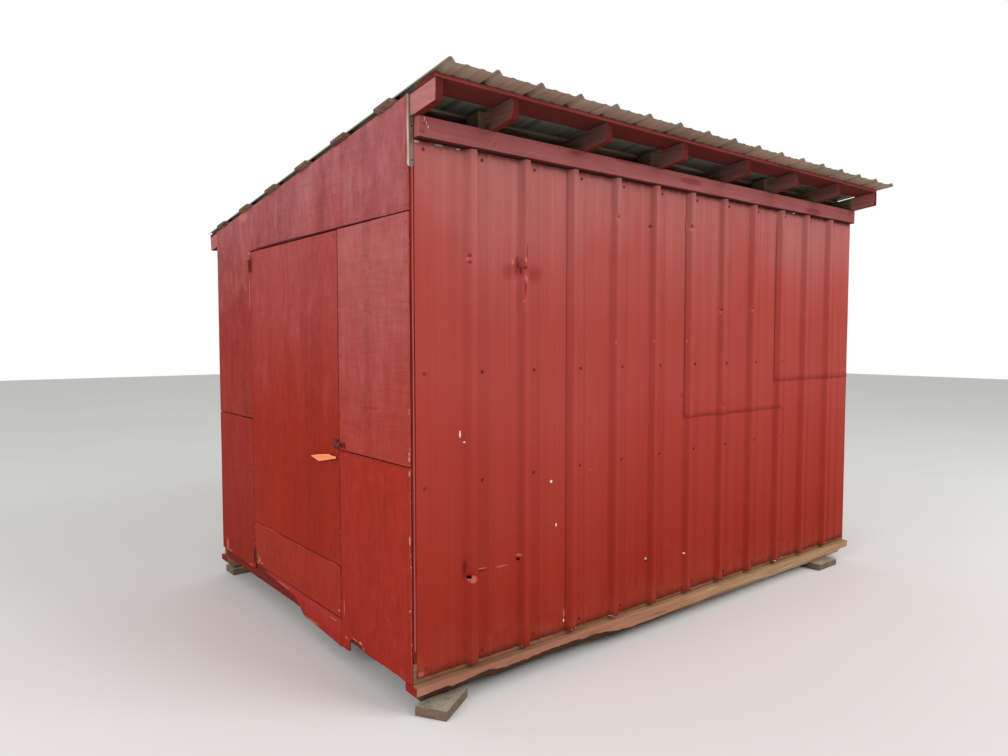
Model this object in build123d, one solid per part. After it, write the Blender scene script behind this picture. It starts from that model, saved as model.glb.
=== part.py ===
from build123d import *
import math
import os

os.makedirs("parts", exist_ok=True)

# A skid-mounted storage shed with a single-slope roof, in millimetres.
# While the pieces are made, x runs along the high ribbed wall from the door end,
# y runs back from the face of its framing, and z is the height above the ground.

# Footprint of the framing
length = 3658.0
width = 2438.0

# Sawn lumber
lumber = 38.0
stud_depth = 89.0
purlin_width = 140.0
purlin_thickness = 19.0
skid_size = 89.0
deck_thickness = 18.0
deck_setback = 6.0
plywood = 12.0
ledge_thickness = 19.0

# Blocks, skids and floor
block_height = 44.0
block_length = 230.0
block_width = 150.0
block_turn = 32.0
block_inset_near = 140.0
block_inset_far = 318.0
block_forward = 12.0
skid_face_out = 38.0
skid_past_wall = 12.0
skid_bevel = 55.0
joist_count = 7
rot_length = 1040.0
rot_depth = 26.0
rot_steps = 4
rot_taper = 4.5

# Roof: pitch, tails, first bays and purlins
roof_pitch = 6.6
header_depth = 89.0
header_top = 2510.0
header_start = 18.0
tail_front = 200.0
tail_back = 165.0
first_bay = 385.0
wide_bay = 570.0
wide_bays = 3
narrow_bays = 3
purlin_past_end = 37.0
front_purlin_step = 290.0
back_purlin_step = 260.0
purlin_count = 6

# Ribbed steel
steel = 0.6
lap_gap = 0.3
wall_rib_pitch = 304.8
wall_rib_height = 30.0
wall_rib_base = 76.0
wall_rib_crown = 26.0
roof_rib_pitch = 228.6
roof_rib_height = 19.0
roof_rib_base = 42.0
roof_rib_crown = 12.0
swage_height = 3.0
swage_base = 30.0
swage_crown = 16.0
swages_per_pan = 2
roof_first_rib = 9.0
roof_overhang_front = 100.0
roof_overhang_back = 12.0
sheets_per_side = 4
wall_ribs_per_sheet = 3
roof_ribs_per_sheet = 4
steel_corner_reveal = 18.0
steel_bottom = 153.0
sheet_top_gap = 3.0
lap_3_height = 1155.0
lap_4_height = 1330.0
sheet_end_lap = 150.0

# Plywood ends
panel_foot_gap = 1.0
left_panel_bottom = 188.0
panel_gap = 4.0
right_seam = 1066.0
left_seam = 1118.0
far_seam = 1219.0
foot_notch_start = 415.0
foot_notch_end = 572.0
foot_notch_height = 28.0
foot_notch_slant = 28.0
foot_flap_drop = 46.0

# Doorway and door
door_right = 650.0
door_left = 1828.0
door_bottom = 228.0
door_head = 2130.0
door_gap = 7.0
door_patch_top = 487.0
door_seam = 1.0
ledge_width = 120.0
stile_width = 89.0
stile_rise = 8.0
sill_top_gap = 7.0
sill_joint = 1107.0
sill_joint_gap = 3.0
sill_low_at_joint = 108.0
sill_low_at_right = 84.0
sill_rot_start = 1216.0
sill_rot_low = 182.0
sill_rot_end = 1650.0
sill_rot_tip = 14.0

# Hinges, hasp and corner strap
hinge_leaf_height = 76.0
hinge_leaf_width = 34.0
hinge_metal = 2.0
hinge_barrel = 9.0
hinge_pin = 5.0
hinge_pin_gap = 0.3
hinge_knuckles = 3
hinge_knuckle_gap = 0.5
barrel_standoff = 0.3
hinge_top_drop = 80.0
hinge_bottom_rise = 42.0
hasp_height = 1090.0
hasp_plate_width = 60.0
hasp_plate_height = 46.0
hasp_metal = 2.0
hasp_strap_reach = 78.0
hasp_end_bar = 8.0
hasp_strap_height = 26.0
hasp_barrel = 7.0
hasp_pin = 3.4
hasp_edge_inset = 4.0
hasp_slot_length = 42.0
hasp_slot_height = 15.0
staple_rod = 5.0
staple_out = 26.0
staple_span = 22.0
staple_bend = 0.9
corner_strap_length = 290.0
corner_strap_side_leg = 18.0
corner_strap_front_leg = 30.0
corner_strap_metal = 2.0

# Wall framing
girt_below_lap = 23.0
girt_mid_back = 1200.0
girt_below_header = 46.0
far_end_bays = 4

slope = math.radians(roof_pitch)
floor_top = block_height + skid_size + stud_depth + deck_thickness
rim_bottom = block_height + skid_size
panel_bottom = rim_bottom + panel_foot_gap
plate_top = floor_top + lumber
far = 6000.0
overcut = 1.0


def board(x, y, z):
    """A square-cut board between two limits on each axis."""
    size = (x[1] - x[0], y[1] - y[0], z[1] - z[0])
    middle = ((x[0] + x[1]) / 2, (y[0] + y[1]) / 2, (z[0] + z[1]) / 2)
    return Pos(*middle) * Box(*size)


def save(name, *solids):
    """Writes one named piece, or several like pieces that don't touch."""
    shapes = [origin * solid for solid in solids]
    export_step(shapes[0] if len(shapes) == 1 else Compound(shapes), f"parts/{name}.step")


# The underside of the rafters meets the outer top edge of the front header.
rafter_foot = header_top - skid_face_out * math.tan(slope)
header_back_top = rafter_foot - width * math.tan(slope)


def on_slope(shape):
    """Puts a shape drawn on the flat onto the underside plane of the rafters."""
    return Pos(0, 0, rafter_foot) * Rot(-roof_pitch, 0, 0) * shape


def below_slope(shape, above_rafter_foot=0.0):
    """Cuts a shape off along the slope, a given height above the rafters' underside."""
    keep = board((-far, far), (-far, far), (-far, above_rafter_foot))
    return shape & on_slope(keep)


# Roof timbers
run_back = width / math.cos(slope) + tail_back
first_purlin = front_purlin_step - tail_front
last_purlin = run_back - purlin_width - back_purlin_step
purlin_spacing = (last_purlin - first_purlin) / (purlin_count - 1)
narrow_bay = (length - lumber - first_bay - wide_bays * wide_bay) / narrow_bays
rafter_lefts = [first_bay + k * wide_bay for k in range(wide_bays + 1)]
rafter_lefts += [rafter_lefts[-1] + (k + 1) * narrow_bay for k in range(narrow_bays - 1)]
purlin_left = -purlin_past_end
roof_last_rib = roof_first_rib + sheets_per_side * roof_ribs_per_sheet * roof_rib_pitch
roof_sheet_right = roof_last_rib + roof_rib_base / 2
purlin_right = max(length + purlin_past_end, roof_sheet_right)
sheet_front = -tail_front - roof_overhang_front
sheet_back = run_back + roof_overhang_back

# Origin: bottom centre of everything
roof_sheet_base = stud_depth + purlin_thickness
reach_front = sheet_front * math.cos(slope) + roof_sheet_base * math.sin(slope)
sheet_crest = roof_sheet_base + roof_rib_height + steel + lap_gap + steel
reach_back = sheet_back * math.cos(slope) + sheet_crest * math.sin(slope)
origin = Pos(-(purlin_left + purlin_right) / 2, -(reach_front + reach_back) / 2, 0)


def header_zone(y0, top):
    """The space that a header board fills, along the whole wall."""
    return board((-far, far), (y0, y0 + lumber), (top - header_depth, top))


front_header_zone = header_zone(-skid_face_out, header_top)
back_header_zone = header_zone(width, header_back_top)


def rafter(left):
    """A rafter on edge, notched over both headers and cut plumb at its front end."""
    plumb = -tail_front * math.cos(slope) + stud_depth * math.sin(slope)
    stick = on_slope(board((left, left + lumber), (-far, run_back), (0, stud_depth)))
    return (stick & board((-far, far), (plumb, far), (-far, far))) - front_header_zone - back_header_zone


def flat_board(along, front_edge):
    """A board laid flat across the rafters, between two limits along the shed."""
    across = (front_edge, front_edge + purlin_width)
    return on_slope(board(along, across, (stud_depth, roof_sheet_base)))


# Blocks under the ends of both skids; the near front one lies turned
def block(x, y, turn):
    lump = Box(block_length, block_width, block_height)
    return Pos(x, y, block_height / 2) * Rot(0, 0, turn) * lump


front_line = -skid_face_out + skid_size / 2
back_line = width + skid_face_out - skid_size / 2
save(
    "base_blocks",
    block(block_inset_near, front_line - block_forward, block_turn),
    block(length - block_inset_far, front_line, 0),
    block(block_inset_near, back_line, 0),
    block(length - block_inset_far, back_line, 0),
)


# Skids with bevelled ends; the front one has rotted away along its lower front edge
def skid(y0):
    """A square timber with both ends cut up from below, like a sledge runner."""
    left, right = -skid_past_wall, length + skid_past_wall
    bottom, top = block_height, block_height + skid_size
    side = Polyline(
        (left, top), (left, bottom + skid_bevel), (left + skid_bevel, bottom),
        (right - skid_bevel, bottom), (right, bottom + skid_bevel), (right, top), (left, top),
    )
    return Pos(0, y0 + skid_size, 0) * extrude(Plane.XZ * make_face(side), skid_size)


front_skid = skid(-skid_face_out)
rot_run = rot_length / rot_steps
for k in range(rot_steps):
    deep = rot_depth - k * rot_taper
    front_skid -= board(
        (k * rot_run, (k + 1) * rot_run),
        (-skid_face_out - overcut, -skid_face_out + deep),
        (block_height - overcut, block_height + deep),
    )
save("skid_front", front_skid)
save("skid_back", skid(width + skid_face_out - skid_size))

# Floor frame and deck
rim_z = (rim_bottom, rim_bottom + stud_depth)
save("floor_rims", board((0, length), (0, lumber), rim_z), board((0, length), (width - lumber, width), rim_z))
joist_step = (length - lumber) / (joist_count - 1)
save("floor_joists", *[
    board((k * joist_step, k * joist_step + lumber), (lumber, width - lumber), rim_z)
    for k in range(joist_count)
])
save("floor_deck", board((deck_setback, length), (0, width), (rim_z[1], floor_top)))


# Long walls: plates, studs beside every other rafter, girts and header
post_lefts = [left - lumber for left in rafter_lefts[::2]]
corner_lefts = [0.0, length - lumber]


def wall_y(back, inner, outer):
    """Limits across a long wall, from the depths of its two faces inside the framing line."""
    return (width - inner, width - outer) if back else (outer, inner)


def long_wall_studs(back):
    """Corner studs under the end rafters, and posts that pass up beside the others."""
    across = wall_y(back, stud_depth, 0)
    corners = [below_slope(board((x, x + lumber), across, (plate_top, far))) for x in corner_lefts]
    posts = [
        below_slope(board((x, x + lumber), across, (plate_top, far)), stud_depth) for x in post_lefts
    ]
    return corners + posts


def long_wall_girts(back, header_z, middle):
    """Rails between the studs, flush with their outer faces, at mid height and under the header."""
    edges = sorted(corner_lefts + post_lefts)
    rails = []
    for level in (middle, header_z - header_depth - girt_below_header):
        for a, b in zip(edges, edges[1:]):
            height = (level - stud_depth / 2, level + stud_depth / 2)
            rails.append(board((a + lumber, b), wall_y(back, lumber, 0), height))
    return rails


# The middle rail of the front wall carries the end lap of the last sheet.
girt_mid_front = lap_4_height + sheet_end_lap - girt_below_lap
plate_z = (floor_top, plate_top)
save("wall_plates", *[board((0, length), wall_y(back, stud_depth, 0), plate_z) for back in (False, True)])
save("front_studs", *long_wall_studs(False))
save("back_studs", *long_wall_studs(True))
save("front_girts", *long_wall_girts(False, header_top, girt_mid_front))
save("back_girts", *long_wall_girts(True, header_back_top, girt_mid_back))
whole_header = board((header_start, length), (-far, far), (-far, far))
save("front_header", front_header_zone & whole_header)
save("back_header", back_header_zone & board((0, length), (-far, far), (-far, far)))


# Short walls between the long ones
door_wall_x = (0, stud_depth)
far_wall_x = (length - stud_depth, length)
inside = (stud_depth, width - stud_depth)


def end_studs(across, rights):
    """Studs of an end wall, cut off under the end rafter."""
    return [below_slope(board(across, (y, y + lumber), (plate_top, far))) for y in rights]


save(
    "end_plates",
    board(door_wall_x, (inside[0], door_right), plate_z),
    board(door_wall_x, (door_left, inside[1]), plate_z),
    board(far_wall_x, inside, plate_z),
)
jambs = [door_right - lumber, door_left]
save("door_jambs", *end_studs(door_wall_x, jambs))
inner_run = inside[1] - inside[0]
far_studs = [inside[0] + inner_run * k / far_end_bays - lumber / 2 for k in range(1, far_end_bays)]
side_studs = [(inside[0] + jambs[0] - lumber) / 2, (jambs[1] + inside[1]) / 2]
save("end_studs", *end_studs(door_wall_x, side_studs), *end_studs(far_wall_x, far_studs))
save("door_lintel", board(door_wall_x, (door_right, door_left), (door_head, door_head + lumber)))


# Rafters, purlins and eaves
save("end_rafters", rafter(0.0), rafter(length - lumber))
save("rafters", *[rafter(left) for left in rafter_lefts])
save("eave_purlin_front", flat_board((0, length), -tail_front))
save("eave_purlin_back", flat_board((0, length), run_back - purlin_width))
purlin_ends = (purlin_left, purlin_right)
save("purlins", *[
    flat_board(purlin_ends, first_purlin + k * purlin_spacing) for k in range(purlin_count)
])


# Ribbed steel sheets
def ribbed_outline(left, right, ribs, pitch, rib, swage):
    """Outer line of a sheet: tall ribs at given places, and low swages in each pan."""
    shapes = [(x, rib) for x in ribs]
    pans = [ribs[0] + k * pitch for k in range(-1, len(ribs))]
    parts = [(k + 1) / (swages_per_pan + 1) for k in range(swages_per_pan)]
    shapes += [(x + pitch * part, swage) for x in pans for part in parts]
    line = [(left, 0.0)]
    for x, (height, base, crown) in sorted(shapes):
        for px, pz in ((-base / 2, 0.0), (-crown / 2, height), (crown / 2, height), (base / 2, 0.0)):
            if left < x + px < right:
                line.append((x + px, pz))
    line.append((right, 0.0))
    return line


def sheet_face(line, lift):
    """A thin band one steel thickness deep along the outer line, as a flat face."""
    top = [(x, z + lift + steel) for x, z in line]
    under = [(x, z + lift) for x, z in reversed(line)]
    return make_face(Polyline(*top, *under, close=True))


wall_rib = (wall_rib_height, wall_rib_base, wall_rib_crown)
roof_rib = (roof_rib_height, roof_rib_base, roof_rib_crown)
low_swage = (swage_height, swage_base, swage_crown)
lap = steel + lap_gap


def wall_sheet(number, z0, z1, layer, back=False):
    """One upright sheet of a long wall, nested over its neighbours by whole layers."""
    start = (number - 1) * wall_ribs_per_sheet
    ribs = [k * wall_rib_pitch for k in range(max(start, 1), start + wall_ribs_per_sheet + 1)]
    ribs = [x for x in ribs if x < length - wall_rib_base]
    half = wall_rib_base / 2
    left = ribs[0] - half if number > 1 else steel_corner_reveal
    right = ribs[-1] + half if number < sheets_per_side else length
    line = ribbed_outline(left, right, ribs, wall_rib_pitch, wall_rib, low_swage)
    band = extrude(sheet_face(line, layer * lap), z1 - z0)
    if back:
        return Pos(0, width, z0) * band
    return Pos(0, 0, z1) * Rot(180, 0, 0) * band


front_top = header_top - header_depth - sheet_top_gap
save("front_sheet_1", wall_sheet(1, steel_bottom, front_top, 0))
save("front_sheet_2", wall_sheet(2, steel_bottom, front_top, 1))
save("front_sheet_3_lower", wall_sheet(3, steel_bottom, lap_3_height + sheet_end_lap, 0))
save("front_sheet_4_lower", wall_sheet(4, steel_bottom, lap_4_height + sheet_end_lap, 1))
save("front_sheet_3_upper", wall_sheet(3, lap_3_height, front_top, 2))
save("front_sheet_4_upper", wall_sheet(4, lap_4_height, front_top, 3))
back_top = header_back_top - header_depth - sheet_top_gap


def roof_sheet(number, layer):
    """One sheet of the roof, lying on the purlins, with a rib along both edges."""
    start = (number - 1) * roof_ribs_per_sheet
    ribs = [roof_first_rib + k * roof_rib_pitch for k in range(start, start + roof_ribs_per_sheet + 1)]
    ends = ribs[0] - roof_rib_base / 2, ribs[-1] + roof_rib_base / 2
    line = ribbed_outline(*ends, ribs, roof_rib_pitch, roof_rib, low_swage)
    run = extrude(sheet_face(line, layer * lap), sheet_back - sheet_front)
    return on_slope(Pos(0, sheet_back, roof_sheet_base) * Rot(90, 0, 0) * run)


# Every second sheet lies over the edges of its neighbours
for layer, course in ((0, "under"), (1, "over")):
    numbers = range(1 + layer, sheets_per_side + 1, 2)
    save(f"back_sheets_{course}", *[wall_sheet(n, steel_bottom, back_top, layer, True) for n in numbers])
    save(f"roof_sheets_{course}", *[roof_sheet(n, layer) for n in numbers])


# Plywood of the door end, nailed outside the framing
skin = (-plywood, 0)
over = board(skin, (0, width), (door_head, far))
strip = board(skin, (door_left, width), (left_seam, door_head))
save("door_end_top_panel", below_slope(over + strip, stud_depth))
save("door_end_left_panel", board(skin, (door_left, width), (left_panel_bottom, left_seam - panel_gap)))
right_top = door_head - panel_gap
save("door_end_right_upper", board(skin, (0, door_right), (right_seam, right_top)))


def skin_plate(*outline):
    """A piece of the door end's plywood from its outline, as places back from the corner and heights."""
    return extrude(Plane.YZ * make_face(Polyline(*outline, close=True)), -plywood)


# The foot of this panel has rotted away in one place and hangs lower beside the doorway.
notch_top = panel_bottom + foot_notch_height
flap_low = panel_bottom - foot_flap_drop
save("door_end_right_lower", skin_plate(
    (0, right_seam - panel_gap), (0, panel_bottom), (foot_notch_start, panel_bottom),
    (foot_notch_start + foot_notch_slant, notch_top), (foot_notch_end - foot_notch_slant, notch_top),
    (foot_notch_end, panel_bottom), (foot_notch_end, flap_low), (door_right, flap_low),
    (door_right, right_seam - panel_gap),
))

# Plywood of the far end
far_skin = (length, length + plywood)
halves = [(0, far_seam - panel_gap / 2), (far_seam + panel_gap / 2, width)]
save("far_end_panels", *[
    below_slope(board(far_skin, across, (panel_bottom, far)), stud_depth) for across in halves
])

# Board under the door, in two lengths; most of the left one has rotted away
sill_top = door_bottom - sill_top_gap
sill_right = (door_right + panel_gap, sill_joint - sill_joint_gap)
save(
    "door_sill",
    skin_plate(
        (sill_right[0], sill_top), (sill_right[0], sill_low_at_right),
        (sill_right[1], sill_low_at_joint), (sill_right[1], sill_top),
    ),
    skin_plate(
        (sill_joint, sill_top), (sill_joint, sill_low_at_joint), (sill_rot_start, sill_rot_low),
        (sill_rot_end, sill_top - sill_rot_tip), (sill_rot_end, sill_top),
    ),
)

# Door: plywood skin in two pieces on a frame of stiles and ledges
leaf_y = (door_right + door_gap, door_left - door_gap)
leaf_top = door_head - door_gap
save("door_leaf", board(skin, leaf_y, (door_patch_top + door_seam, leaf_top)))
save("door_patch", board(skin, leaf_y, (door_bottom, door_patch_top - door_seam)))
frame_x = (0, ledge_thickness)
frame_z = (floor_top + stile_rise, leaf_top)
stile_ys = [(leaf_y[0], leaf_y[0] + stile_width), (leaf_y[1] - stile_width, leaf_y[1])]
save("door_stiles", *[board(frame_x, y, frame_z) for y in stile_ys])
ledge_y = (stile_ys[0][1], stile_ys[1][0])
ledge_mids = [
    door_patch_top,
    (door_patch_top + leaf_top - ledge_width / 2) / 2,
    leaf_top - ledge_width / 2,
]
save("door_ledges", *[
    board(frame_x, ledge_y, (z - ledge_width / 2, z + ledge_width / 2)) for z in ledge_mids
])

# Butt hinges: knuckles on a fixed pin, at the left edge of the door
pin_y = door_left - door_gap / 2
pin_x = -plywood - hinge_barrel / 2 - barrel_standoff
hinge_levels = [door_bottom + hinge_bottom_rise, leaf_top - hinge_top_drop]
knuckle = hinge_leaf_height / hinge_knuckles


def upright(x, y, z0, z1, diameter):
    """A round rod or barrel standing between two heights."""
    return Pos(x, y, (z0 + z1) / 2) * Cylinder(diameter / 2, z1 - z0)


def hinge_leaf(level, toward_door):
    """One leaf of a butt hinge with its knuckles: every second one is the door's, the rest the frame's."""
    low = level - hinge_leaf_height / 2
    plate_x = (-plywood - hinge_metal, -plywood)
    reach = (-hinge_leaf_width, 0) if toward_door else (0, hinge_leaf_width)
    plate = board(plate_x, (pin_y + reach[0], pin_y + reach[1]), (low, low + hinge_leaf_height))
    wide = hinge_barrel / 2 + hinge_knuckle_gap
    for k in range(hinge_knuckles):
        z0, z1 = low + k * knuckle, low + (k + 1) * knuckle
        if (k % 2 == 1) == toward_door:
            ends = (z0 + hinge_knuckle_gap / 2, z1 - hinge_knuckle_gap / 2)
            plate += upright(pin_x, pin_y, *ends, hinge_barrel)
        else:
            plate -= board((-far, far), (pin_y - wide, pin_y + wide), (z0 - overcut, z1 + overcut))
    return plate


door_halves = []
frame_halves = []
for level in hinge_levels:
    low, high = level - hinge_leaf_height / 2, level + hinge_leaf_height / 2
    pin = upright(pin_x, pin_y, low, high, hinge_pin)
    hole = upright(pin_x, pin_y, low - overcut, high + overcut, hinge_pin + 2 * hinge_pin_gap)
    door_halves.append(hinge_leaf(level, True) - hole)
    frame_halves.append(hinge_leaf(level, False) + pin)
save("door_hinge_leaves", *door_halves)
save("frame_hinge_leaves", *frame_halves)

# Hasp: a plate and knuckles on the door, a slotted strap that folds over a staple on the wall
hasp_x = -plywood - hasp_barrel / 2 - barrel_standoff
hasp_y = leaf_y[0] + hasp_edge_inset + hasp_barrel / 2
hasp_z = (hasp_height - hasp_plate_height / 2, hasp_height + hasp_plate_height / 2)
hasp_third = hasp_plate_height / 3
plate = board((-plywood - hasp_metal, -plywood), (hasp_y, hasp_y + hasp_plate_width), hasp_z)
plate += upright(hasp_x, hasp_y, *hasp_z, hasp_barrel)
knuckle_zone = (hasp_z[0] + hasp_third, hasp_z[1] - hasp_third)
around = hasp_barrel / 2 + hinge_knuckle_gap
plate -= board((-far, -plywood), (hasp_y - around, hasp_y + around), knuckle_zone)
save("hasp_plate", plate + upright(hasp_x, hasp_y, *hasp_z, hasp_pin))

own_z = (knuckle_zone[0] + hinge_knuckle_gap / 2, knuckle_zone[1] - hinge_knuckle_gap / 2)
strap_face = hasp_x - hasp_barrel / 2 + barrel_standoff
strap_x = (strap_face, strap_face + hasp_metal)
strap_z = (hasp_height - hasp_strap_height / 2, hasp_height + hasp_strap_height / 2)
strap = board(strap_x, (hasp_y - hasp_strap_reach, hasp_y - around), strap_z)
strap += board(strap_x, (hasp_y - around, hasp_y), own_z)
strap += upright(hasp_x, hasp_y, *own_z, hasp_barrel)
staple_y = hasp_y - hasp_strap_reach + hasp_end_bar + hasp_slot_length / 2
slot_y = (staple_y - hasp_slot_length / 2, staple_y + hasp_slot_length / 2)
slot_z = (hasp_height - hasp_slot_height / 2, hasp_height + hasp_slot_height / 2)
strap -= board((-far, far), slot_y, slot_z)
save("hasp_strap", strap - upright(hasp_x, hasp_y, *hasp_z, hasp_pin + 2 * hinge_pin_gap))

leg = (staple_span - staple_rod) / 2
bend = staple_out - staple_rod / 2
arch = [
    (-plywood, staple_y - leg, hasp_height), (-plywood - bend, staple_y - leg, hasp_height),
    (-plywood - bend, staple_y + leg, hasp_height), (-plywood, staple_y + leg, hasp_height),
]
wire = FilletPolyline(*arch, radius=leg * staple_bend)
profile = Plane(origin=arch[0], z_dir=(-1, 0, 0)) * Circle(staple_rod / 2)
save("hasp_staple", sweep(profile, path=wire))

# Galvanised angle down the top of the near corner, notched round the end rafter, with a rounded lower end
metal = corner_strap_metal
round_end = corner_strap_front_leg / 2
low = rafter_foot + stud_depth - corner_strap_length + round_end
front_leg_x = (-plywood - metal, -plywood - metal + corner_strap_front_leg)
leg_side = board((-plywood - metal, -plywood), (-metal, corner_strap_side_leg), (low, far))
leg_front = board(front_leg_x, (-metal, 0), (low, far))
leg_front += Pos(front_leg_x[0] + round_end, -metal / 2, low) * Rot(90, 0, 0) * Cylinder(round_end, metal)
leg_front -= on_slope(board((0, far), (-far, far), (0, far)))
save("corner_strap", below_slope(leg_side + leg_front, stud_depth))
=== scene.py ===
import math

import bpy
import numpy as np
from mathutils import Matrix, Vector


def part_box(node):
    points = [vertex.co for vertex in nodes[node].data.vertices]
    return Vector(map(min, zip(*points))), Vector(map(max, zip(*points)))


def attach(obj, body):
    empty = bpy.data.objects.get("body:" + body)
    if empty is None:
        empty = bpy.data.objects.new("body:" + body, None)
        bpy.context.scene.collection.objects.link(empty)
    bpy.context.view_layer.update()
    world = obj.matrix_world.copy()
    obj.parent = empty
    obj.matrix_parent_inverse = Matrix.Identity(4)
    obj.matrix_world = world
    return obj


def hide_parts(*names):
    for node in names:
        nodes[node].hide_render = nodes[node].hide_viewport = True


# A storage shed on skids: ribbed red steel on the long walls, painted plywood on
# the ends, and a single-slope steel roof over open rafters.
# Lengths are in metres. Shed coordinates start at the framing's near corner: x runs
# along the high wall, y back from its framing, z up from the ground.

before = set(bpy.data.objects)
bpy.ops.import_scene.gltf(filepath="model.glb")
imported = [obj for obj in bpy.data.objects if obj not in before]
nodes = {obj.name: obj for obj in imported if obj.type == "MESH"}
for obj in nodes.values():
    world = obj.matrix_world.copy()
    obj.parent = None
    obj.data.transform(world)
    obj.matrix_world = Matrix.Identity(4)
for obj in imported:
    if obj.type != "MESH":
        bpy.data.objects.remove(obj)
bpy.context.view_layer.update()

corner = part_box("wall_plates")[0]
far_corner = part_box("wall_plates")[1]
LENGTH = far_corner.x - corner.x
WIDTH = far_corner.y - corner.y
PITCH = math.radians(6.6)
COS, SIN = math.cos(PITCH), math.sin(PITCH)
header_low, header_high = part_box("front_header")
rafter_foot = header_high.z + (header_low.y - corner.y) * math.tan(PITCH)

STEEL = 0.0006
LAYER = 0.0009
PLYWOOD = 0.012
LUMBER = 0.038
STUD = 0.089
ROOF_BOARD = 0.019
SHEET_BASE = STUD + ROOF_BOARD


def shed(x, y, z):
    """Points in the model's frame from shed coordinates, as one array with a last axis of three."""
    x, y, z = np.broadcast_arrays(x, y, z)
    return np.stack([x + corner.x, y + corner.y, z], -1)


def roof(x, s, h):
    """Points over the slope: s runs down from the front framing line, h stands off the rafters' underside."""
    return shed(x, s * COS + h * SIN, rafter_foot - s * SIN + h * COS)


def shed_box(node):
    """A CAD node's lowest and highest corner in shed coordinates."""
    shift = np.array([corner.x, corner.y, 0])
    return tuple(np.array(point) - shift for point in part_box(node))


def ripple(u, v, seed, size, octaves=3):
    """Smooth unevenness from about -1 to 1: four plane waves an octave, half as long and high in the next."""
    draw = np.random.default_rng(seed)
    total = np.zeros(np.broadcast(u, v).shape)
    for octave in range(octaves):
        turn, start, stretch = draw.uniform(0, 1, (3, 4))
        for t, p, q in zip(turn * 2 * np.pi, start * 2 * np.pi, stretch):
            wave = size * (0.7 + 0.6 * q) / 2**octave
            total = total + np.sin(2 * np.pi * (u * np.cos(t) + v * np.sin(t)) / wave + p) / 2**octave
    return total / 4


def ease(t):
    """From 0 to 1 with level ends, the cubic 3tt - 2ttt of t held between 0 and 1."""
    t = np.clip(t, 0, 1)
    return t * t * (3 - 2 * t)


def fade(distance, reach):
    """1 at an edge, eased to 0 at reach from it."""
    return ease((reach - distance) / reach)


def thinned(places, least):
    """Sorted places with those nearer than least to the one before left out, ends kept."""
    places = np.unique(np.round(places, 5))
    kept = [places[0]]
    for place in places[1:-1]:
        if place - kept[-1] >= least and places[-1] - place >= least:
            kept.append(place)
    return np.array([*kept, places[-1]])


def cells(rows, columns, wrap=False):
    """The four corner numbers of each cell of a grid, first along its columns and then its rows."""
    number = np.arange(rows * columns).reshape(rows, columns)
    left, right = (number, np.roll(number, -1, 1)) if wrap else (number[:, :-1], number[:, 1:])
    return np.stack([left[:-1], right[:-1], right[1:], left[1:]], -1)


def tube(rings, around):
    """Faces of a closed tube of so many rings with so many points each, its caps last."""
    last = (rings - 1) * around
    caps = [list(range(around))[::-1], list(range(last, last + around))]
    return cells(rings, around, wrap=True).reshape(-1, 4).tolist() + caps


def surface(points, kept=None, marks=None):
    """A grid of points as a part: its points, the faces of the cells in kept, and a mark for each point."""
    faces = cells(*points.shape[:2])
    faces = faces.reshape(-1, 4) if kept is None else faces[kept]
    used, faces = np.unique(faces, return_inverse=True)
    points = points.reshape(-1, 3)[used]
    marks = np.zeros(len(points)) if marks is None else marks.reshape(-1)[used]
    return points, faces.reshape(-1, 4).tolist(), marks


CREASE = math.radians(38)


def piece(name, body, finish, parts, stands_for=(), wall=0.0, rim=None, back=None):
    """One named piece from several parts. Its shading is smooth but for bends sharper than CREASE.

    wall is a sheet's thickness, which goes inward. rim is the finish of its cut edges, and back that of its
    inner side.
    """
    points, faces, marks, start = [], [], [], 0
    for part_points, part_faces, part_marks in parts:
        points.append(part_points)
        marks.append(part_marks)
        faces += [[start + corner_number for corner_number in face] for face in part_faces]
        start += len(part_points)
    mesh = bpy.data.meshes.new(name)
    mesh.from_pydata(np.concatenate(points).tolist(), [], faces)
    mesh.polygons.foreach_set("use_smooth", np.ones(len(mesh.polygons), bool))
    mesh.set_sharp_from_angle(angle=CREASE)
    mark = mesh.attributes.new("inset", "FLOAT", "POINT")
    mark.data.foreach_set("value", np.concatenate(marks).astype(np.float32))
    mesh.materials.append(finish)
    thing = bpy.data.objects.new(name, mesh)
    bpy.context.scene.collection.objects.link(thing)
    if wall:
        thickness = thing.modifiers.new("thickness", "SOLIDIFY")
        thickness.thickness = wall
        thickness.offset = -1
        for side, setting in ((rim, "material_offset_rim"), (back, "material_offset")):
            if side:
                mesh.materials.append(side)
                setattr(thickness, setting, len(mesh.materials) - 1)
    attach(thing, body)
    if stands_for:
        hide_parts(*stands_for)


# Camera, at the photograph's place and angle
CAMERA_PLACE = (-1.603, -2.626, 1.604)
CAMERA_TURN = (90 - 3.07, 0, -38.57)
CAMERA_LENS = 26.31
camera = bpy.data.objects.new("camera", bpy.data.cameras.new("camera"))
bpy.context.scene.collection.objects.link(camera)
camera.location = shed(*CAMERA_PLACE)
camera.rotation_euler = [math.radians(turn) for turn in CAMERA_TURN]
camera.data.sensor_width = 36
camera.data.lens = CAMERA_LENS
camera.data.clip_start = 0.05
camera.data.clip_end = 200
bpy.context.scene.camera = camera


# Finishes
def paint(red, green, blue):
    """A colour as it looks, from 0 to 255, in the linear values that a shader takes."""
    look = np.array([red, green, blue]) / 255
    linear = np.where(look <= 0.04045, look / 12.92, ((look + 0.055) / 1.055) ** 2.4)
    return (*linear.tolist(), 1.0)


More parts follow.
